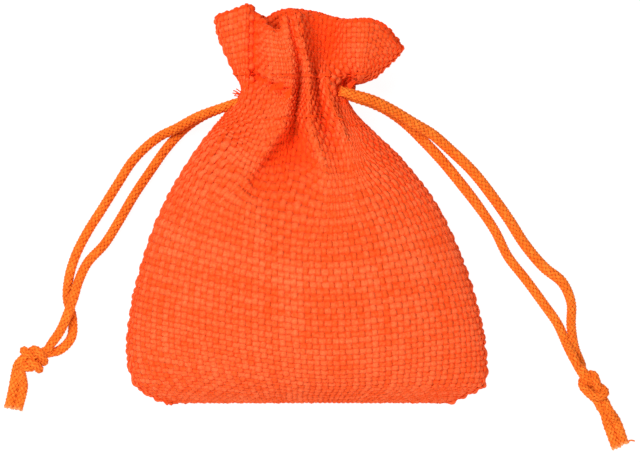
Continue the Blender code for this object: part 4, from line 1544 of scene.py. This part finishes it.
    def sheet(self) -> bpy.types.Object:
        """The closed lining sheet, as one skin with its thickness.

        Returns:
            The piece.
        """
        form = self.weave.form
        columns = np.arange(0, form.middle.shape[1], 6)
        last = len(form.middle) - 1
        chosen = np.union1d(np.arange(0, last, 2), [last])[:, None]
        middle, ways = form.middle[chosen, columns], form.normal[chosen, columns]
        spread = soft_rise(how_drawn(middle[..., 1]), 0.36, 0.16)[..., None]
        grid = middle * MM + ways * (self.sheet_rise + self.spread_rise * spread)
        inner = grid - ways * self.sheet_thickness
        out = np.arange(grid[..., 0].size).reshape(grid.shape[:2])
        under = out + out.size
        corners = (
            (out[:-1, :-1], out[:-1, 1:], out[1:, 1:], out[1:, :-1]),
            (under[:-1, :-1], under[1:, :-1], under[1:, 1:], under[:-1, 1:]),
            (out[0, :-1], under[0, :-1], under[0, 1:], out[0, 1:]),
            (out[-1, :-1], out[-1, 1:], under[-1, 1:], under[-1, :-1]),
            (out[:-1, 0], out[1:, 0], under[1:, 0], under[:-1, 0]),
            (out[:-1, -1], under[:-1, -1], under[1:, -1], out[1:, -1]),
        )
        faces = np.concatenate([np.stack([c.ravel() for c in four], axis=1) for four in corners])
        points = np.concatenate([grid.reshape(-1, 3), inner.reshape(-1, 3)])
        mesh = bpy.data.meshes.new("cloth_sheet")
        mesh.from_pydata(points.tolist(), [], faces.tolist())
        mesh.shade_smooth()
        # painted shade: the sheet takes the darker colour of the shade in the gaps between the threads
        mesh.materials.append(BURLAP_GAP_SHADE.make())
        mesh.update()
        return report(link("cloth_sheet", mesh))


@dataclass
class Stitching:
    """The two rows of stitches that hold the casing of the drawstrings, round the neck.

    Args:
        weave: where the threads lie.
        finish: the thread's material.
        pitch: from one stitch to the next.
        length: of a stitch.
        thickness: of its thread.
        height: of the row above the cloth's middle surface.
        seam_columns: grid columns left free at each side seam.
        column_step: between two points of a row.
        rim_points: of a column under the rim, which tell where it stands across the neck.
    """

    weave: Weave
    finish: bpy.types.Material
    pitch: float = 2.1 * MM
    length: float = 1.7 * MM
    thickness: float = 0.42 * MM
    height: float = 0.46 * MM
    seam_columns: int = 20
    column_step: int = 3
    rim_points: int = 24

    def row(self, levels: Table, front: bool) -> Line:
        """One row's line over the front or the back.

        Args:
            levels: rows of x and y, in millimetres.
            front: whether it runs over the front.

        Returns:
            The line.
        """
        weave = self.weave
        number = weave.numbers if front else -weave.numbers
        wefts = weave.front_wefts if front else weave.back_wefts
        face = np.where((number > 0) & (number < wefts))[0][:: 1 if front else -1]
        places, ways = [], []
        end = weave.points.shape[1] - self.seam_columns
        for column in range(self.seam_columns, end, self.column_step):
            points, out = weave.points[face, column], weave.ways[face, column]
            level = smooth_table(np.median(points[-self.rim_points :, 0]), levels)[0]
            place, way = (
                np.array([np.interp(level, points[:, 1], values[:, k]) for k in range(3)])
                for values in (points, out)
            )
            places.append(place * MM + way * self.height)
            ways.append(way)
        return {"points": np.array(places), "way": unit(np.array(ways))}

    def recipe(self) -> Recipe:
        """The geometry tree that sets stitches along lines.

        Returns:
            The recipe.
        """
        sizes = {"Pitch": self.pitch, "Stitch length": self.length, "Seed": 11}
        sizes.update({"Thread thickness": self.thickness, "Finish": self.finish})
        recipe = Recipe("seam stitches", sizes)
        desk, given, line = recipe.begin()
        step = {"Curve": line, "Length": given["Pitch"]}
        spaced = desk.add("GeometryNodeResampleCurve", step, mode="LENGTH")
        half, thick = given["Stitch length"] * 0.5, given["Thread thickness"]
        ends = {"Start": half * -1.0, "End": half}
        arch = {"Resolution": 6, "Middle": desk.add("ShaderNodeCombineXYZ", {"Z": thick * 0.7})}
        for end, x in ends.items():
            arch[end] = desk.add("ShaderNodeCombineXYZ", {"X": x, "Z": thick * -0.9})
        bow = desk.add("GeometryNodeCurveQuadraticBezier", arch)
        inputs = {"Curve": bow, "Profile Curve": desk.circle(6, thick * 0.5), "Fill Caps": True}
        stitch = desk.add("GeometryNodeCurveToMesh", inputs)
        turned = {"Vector": desk.named("way", "FLOAT_VECTOR")}
        turned = {"Rotation": desk.add("FunctionNodeAlignRotationToVector", turned, axis="Z")}
        turned["Vector"] = desk.add("GeometryNodeInputTangent")
        turn = desk.add("FunctionNodeAlignRotationToVector", turned, axis="X")
        chance = {2: 0.8, 3: 1.1, "Seed": given["Seed"]}
        uneven = desk.add("FunctionNodeRandomValue", chance, 1, data_type="FLOAT")
        inputs = {"Points": spaced, "Instance": stitch, "Rotation": turn, "Scale": uneven}
        sewn = desk.add("GeometryNodeInstanceOnPoints", inputs)
        real = desk.add("GeometryNodeRealizeInstances", {"Geometry": sewn})
        # painted shade: the stitches take a fixed share of the fold's painted shade, as in a groove
        recipe.end(desk, desk.stored(real, "depth", 0.75), given["Finish"])
        return recipe

    def build(self) -> bpy.types.Object:
        """Sews the rows, as one piece."""
        rows = [self.row(levels, front) for levels in STITCH_ROWS for front in (True, False)]
        return self.recipe().grow("casing_stitches", rows)


# ---------------------------------------------------------------- drawstrings


@dataclass
class Braid:
    """A round cord braided from twelve fine strands over a core.

    Args:
        diameter: of the cord.
        lead: the length in which a strand goes round once.
        strand_width: across one strand.
        strand_thickness: through it.
        rise: how far a strand rises over the one that it crosses.
    """

    diameter: float = 2.10 * MM
    lead: float = 7.2 * MM
    strand_width: float = 0.62 * MM
    strand_thickness: float = 0.34 * MM
    rise: float = 0.13 * MM

    def recipe(self) -> Recipe:
        """The geometry tree that braids a cord along its line.

        Returns:
            The recipe.
        """
        sizes = {
            "Cord diameter": self.diameter,
            "Lead": self.lead,
            "Strand width": self.strand_width,
            "Strand thickness": self.strand_thickness,
            "Rise": self.rise,
            "Strands each way": 6,
            "Sunk shade": 1.1,
            "Sides": 5,
            "Finish": CORD_YARN.make(),
        }
        recipe = Recipe("braided cord", sizes)
        desk, given, line = recipe.begin()
        each_way, squeeze = given["Strands each way"], desk.named("squeeze")
        copied = {"Geometry": line, "Amount": each_way * 2.0}
        copies = desk.node("GeometryNodeDuplicateElements", copied, domain="SPLINE")
        index = Wire(desk, copies.outputs["Duplicate Index"])
        share = index / each_way
        turn_way = desk.math("MULTIPLY_ADD", desk.math("FLOOR", share), -2.0, 1.0)
        turns = desk.named("along") / given["Lead"]
        angle = (turns * turn_way + share) * (2 * math.pi)
        side = desk.named("side", "FLOAT_VECTOR")
        other = desk.vector("CROSS_PRODUCT", desk.named("ahead", "FLOAT_VECTOR"), side)
        first = desk.vector("SCALE", side, desk.math("COSINE", angle))
        outward = desk.vector("ADD", first, desk.vector("SCALE", other, desk.math("SINE", angle)))
        # painted shade: each strand is darker where it dips under the strands that cross it
        wave = desk.math("COSINE", turns * (each_way * (2 * math.pi))) * turn_way
        sunk = desk.add("ShaderNodeMapRange", {0: wave, 1: 0.1, 2: -0.8, 3: 0.0, 4: 1.0})
        reach = given["Cord diameter"] * 0.5 - given["Strand thickness"] * 0.5 - given["Rise"]
        reach = (reach + wave * given["Rise"]) * squeeze
        tone = desk.math("FRACT", index * 0.618)
        kept, out, tone, sunk = desk.held(
            Wire(desk, copies.outputs[0]), outward=outward, tone=tone, sunk=sunk * given["Sunk shade"]
        )
        moved = {"Geometry": kept, "Offset": desk.vector("SCALE", out, reach)}
        faced = desk.faced(desk.add("GeometryNodeSetPosition", moved), out)
        half = given["Strand width"] * 0.5 * squeeze
        flat = given["Strand thickness"] / given["Strand width"]
        strands = desk.thread(faced, half, flat, given["Sides"], tone)
        core = {0: line, "Radius": given["Cord diameter"] * 0.36 * squeeze}
        joined = desk.node("GeometryNodeJoinGeometry", {0: desk.stored(strands, "depth", sunk)})
        desk.feed(joined, {0: desk.tube(desk.add("GeometryNodeSetCurveRadius", core), desk.circle(8))})
        recipe.end(desk, Wire(desk, joined.outputs[0]), given["Finish"])
        return recipe


@dataclass
class Drawstring:
    """One drawstring: two strands from the neck to a knot, and their cut tails.

    Args:
        side: which of the two.
        braid: what it is made of.
        step: between two points of a strand's line.
        slack: a free strand's and a tail's size against the braid's.
    """

    side: Side
    braid: Braid
    step: float = 0.32 * MM
    slack: float = 1.05

    def framed(self, points: np.ndarray, squeeze: np.ndarray, frayed: np.ndarray) -> Line:
        """A cord's line with all the values that the braid's tree reads.

        Args:
            points: on the line, in metres.
            squeeze: the cord's size at each point against its own.
            frayed: how far it is frayed at each point, from 0 to 1.

        Returns:
            The line, with directions across it that turn no more than the line makes them.
        """
        ahead = unit(np.gradient(points, axis=0))
        side = np.empty_like(ahead)
        side[0] = unit(np.cross(ahead[0], [0.0, 0.0, 1.0]))
        for i in range(1, len(points)):
            side[i] = unit(side[i - 1] - ahead[i] * np.dot(side[i - 1], ahead[i]))
        line = {"points": points, "ahead": ahead, "side": side, "along": lengths_along(points)}
        return {**line, "squeeze": squeeze, "frayed": frayed}

    def strand_route(self, which: str) -> np.ndarray:
        """The route of one strand up to its knot, moved aside where it lies so.

        Args:
            which: outer or inner.

        Returns:
            The route's points, in metres.
        """
        route = np.array(ROUTES[f"{self.side.value}_{which}"][:-1])
        aside = smooth_table(lengths_along(route), STRAND_ASIDE[f"{self.side.value}_{which}"])
        return route + level_frame(route)[1] * aside

    def tail_routes(self) -> dict[str, np.ndarray]:
        """The routes of the two cut tails from the knot, close beside each other.

        Returns:
            Their points, in metres, by short and long.
        """
        name = self.side.value
        routes = {tail: np.array(TAILS[f"{name}_{tail}"][1:]) for tail in ("short", "long")}
        middle = (routes["short"] + routes["long"]) / 2
        ahead, beside = level_frame(middle)
        room = beside * np.array([0.30, 0.42, 0.40])[:, None] * self.braid.diameter
        nudge = np.array(KNOT_POSES[self.side].tails_aside)[:, None] * [[1, 0, 0]]
        for which, way in (("short", 1), ("long", -1)):
            further = np.sum((routes[which] - middle) * ahead, axis=1, keepdims=True) * ahead
            routes[which] = middle + nudge + further + room * way
            routes[which][:, 2] = self.braid.diameter / 2
        return routes

    def knot_ways(self) -> list[np.ndarray]:
        """The two cords' ways through the knot, resting on the floor.

        Returns:
            Each way's points, in metres.
        """
        pose = KNOT_POSES[self.side]
        roll, heading = math.radians(pose.roll), math.radians(pose.heading)
        ways = []
        for cord in KNOT:
            x, y, z = np.array(cord).T * MM
            y, z = y * math.cos(roll) - z * math.sin(roll), y * math.sin(roll) + z * math.cos(roll)
            x, y, z = x * pose.size[0], y * pose.size[1], z * pose.size[2]
            turned = x * math.cos(heading) - y * math.sin(heading)
            beside = x * math.sin(heading) + y * math.cos(heading)
            ways.append(np.stack([pose.middle[0] + turned, pose.middle[1] + beside, z], axis=1))
        # the strands draw closer where they enter, and the tails a little where they leave
        near = pose.entries_close
        for spot, closer in ((0, near), (1, near * 0.6), (2, near * 0.2), (-2, 0.18), (-3, 0.06)):
            apart = ways[0][spot] - ways[1][spot]
            ways[0][spot] -= apart * closer
            ways[1][spot] += apart * closer
        ways = [way[:-1] for way in ways]
        lowest = min(way[:, 2].min() for way in ways) - self.braid.diameter * pose.squeeze / 2
        return [way - [0, 0, lowest] for way in ways]

    def cords(self) -> dict[str, Line]:
        """The two cords from the neck through the knot to their cut ends, each in three lines.

        Returns:
            By outer and inner for the strands, first and second for the ways through the knot, and
            short and long for the tails, the lines as framed() gives them.
        """
        pose, name = KNOT_POSES[self.side], self.side.value
        heading = math.radians(pose.heading)
        ahead = np.array([math.cos(heading), math.sin(heading), 0.0])
        across = np.array([-ahead[1], ahead[0], 0.0])
        ways = sorted(self.knot_ways(), key=lambda way: -float(way[0] @ across))
        tails = ["short", "long"]
        if ways[0][-1] @ across <= ways[1][-1] @ across:
            tails.reverse()
        routes = self.tail_routes()
        found = {}
        for which, part, way, tail in zip(("outer", "inner"), ("first", "second"), ways, tails):
            route = self.strand_route(which)
            clear = routes[tail][(routes[tail] - way[-1]) @ ahead > 0.5 * MM]
            line = smooth_route(np.concatenate([route, way, clear]), self.step)
            corners = lengths_along(np.concatenate([route, way]))
            along = lengths_along(line)
            # the smooth line is about 2% longer than the way over its corners
            marks = []
            for spot, near in ((way[0], corners[len(route)]), (way[-1], corners[-1])):
                far = 10 * (np.abs(along - near * 1.02) > 3 * MM)
                marks.append(int(np.argmin(np.linalg.norm(line - spot, axis=1) + far)))
            entry, leaving = marks
            tight = soft_rise(along - along[entry], -3.5 * MM, 0.5 * MM)
            tight = tight * soft_rise(along - along[leaving], 2.2 * MM, -0.8 * MM)
            end = soft_rise(along[-1] - along, 0.7 * MM, 0)
            squeeze = self.slack - (self.slack - pose.squeeze) * tight + 0.06 * end
            squeeze[:entry] -= 0.05 * (1 - tight[:entry])
            own = STRAND_SIZE.get(f"{name}_{which}", ((0.0, 1.0), (0.1, 1.0)))
            squeeze = squeeze * smooth_table(along, own)[:, 0]
            line[:, 2] = np.maximum(line[:, 2], squeeze * self.braid.diameter / 2)
            whole = self.framed(line, squeeze, 0.75 * end**2)
            stops = ((which, 0, entry), (part, entry, leaving), (tail, leaving, len(line) - 1))
            for key, start, stop in stops:
                found[key] = {kind: values[start : stop + 1] for kind, values in whole.items()}
        return found

    def build(self, recipe: Recipe) -> None:
        """Args:
            recipe: the braid's.
        """
        side, cords = self.side.value, self.cords()
        knot = recipe.grow(f"cord_knot_{side}", [cords["first"], cords["second"]])
        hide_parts(f"knot_{side}")
        ends = [knot]
        for which in ("short", "long"):
            lines = [cords[which]]
            if (self.side, which) == (Side.RIGHT, "short"):
                lines.append(self.loose_yarn(lines[0]["points"]))
            tail = recipe.grow(f"cord_tail_{side}_{which}", lines)
            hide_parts(f"tail_{side}_{which}")
            ends.append(tail)
        strands = []
        for which in ("outer", "inner"):
            strand = recipe.grow(f"cord_{side}_{which}", [cords[which]])
            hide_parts(f"strand_{side}_{which}")
            strands.append(strand)
        for piece in (*ends, *strands):
            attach(piece, "root")

    def loose_yarn(self, tail: np.ndarray) -> Line:
        """A thin yarn that has come loose from a tail's cut end, on its right.

        Args:
            tail: the tail's points.

        Returns:
            The yarn's line.
        """
        way = np.array([(0, 0, 0), (0.9, -0.1, 0.1), (1.5, 0.15, 0), (2.3, 0, -0.3)])
        line = smooth_route(tail[-3] + way * MM, self.step)
        return self.framed(line, np.full(len(line), 0.17), np.zeros(len(line)))


def main() -> None:
    """Builds the studio, the cords and the cloth, in this order."""
    logging.basicConfig(level=logging.INFO, format="%(message)s")
    studio = Studio()
    studio.camera()
    studio.floor()
    studio.light()

    braid = Braid()
    recipe = braid.recipe()
    for side in Side:
        Drawstring(side, braid).build(recipe)

    form = DrapedForm()
    form.build()
    weave = Weave(form)
    weave.build()
    finish = BURLAP_THREAD.make()
    cloth = Cloth(weave, finish)
    threads = [*cloth.threads(), Stitching(weave, finish).build()]
    sheet = cloth.sheet()
    for piece in (sheet, *threads):
        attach(piece, "root")
    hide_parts("sack")

    pieces = [piece for piece in bpy.data.objects if piece.type == "MESH"]
    LOG.info("all pieces: %d triangles", triangles(pieces))


if __name__ == "__main__":
    main()
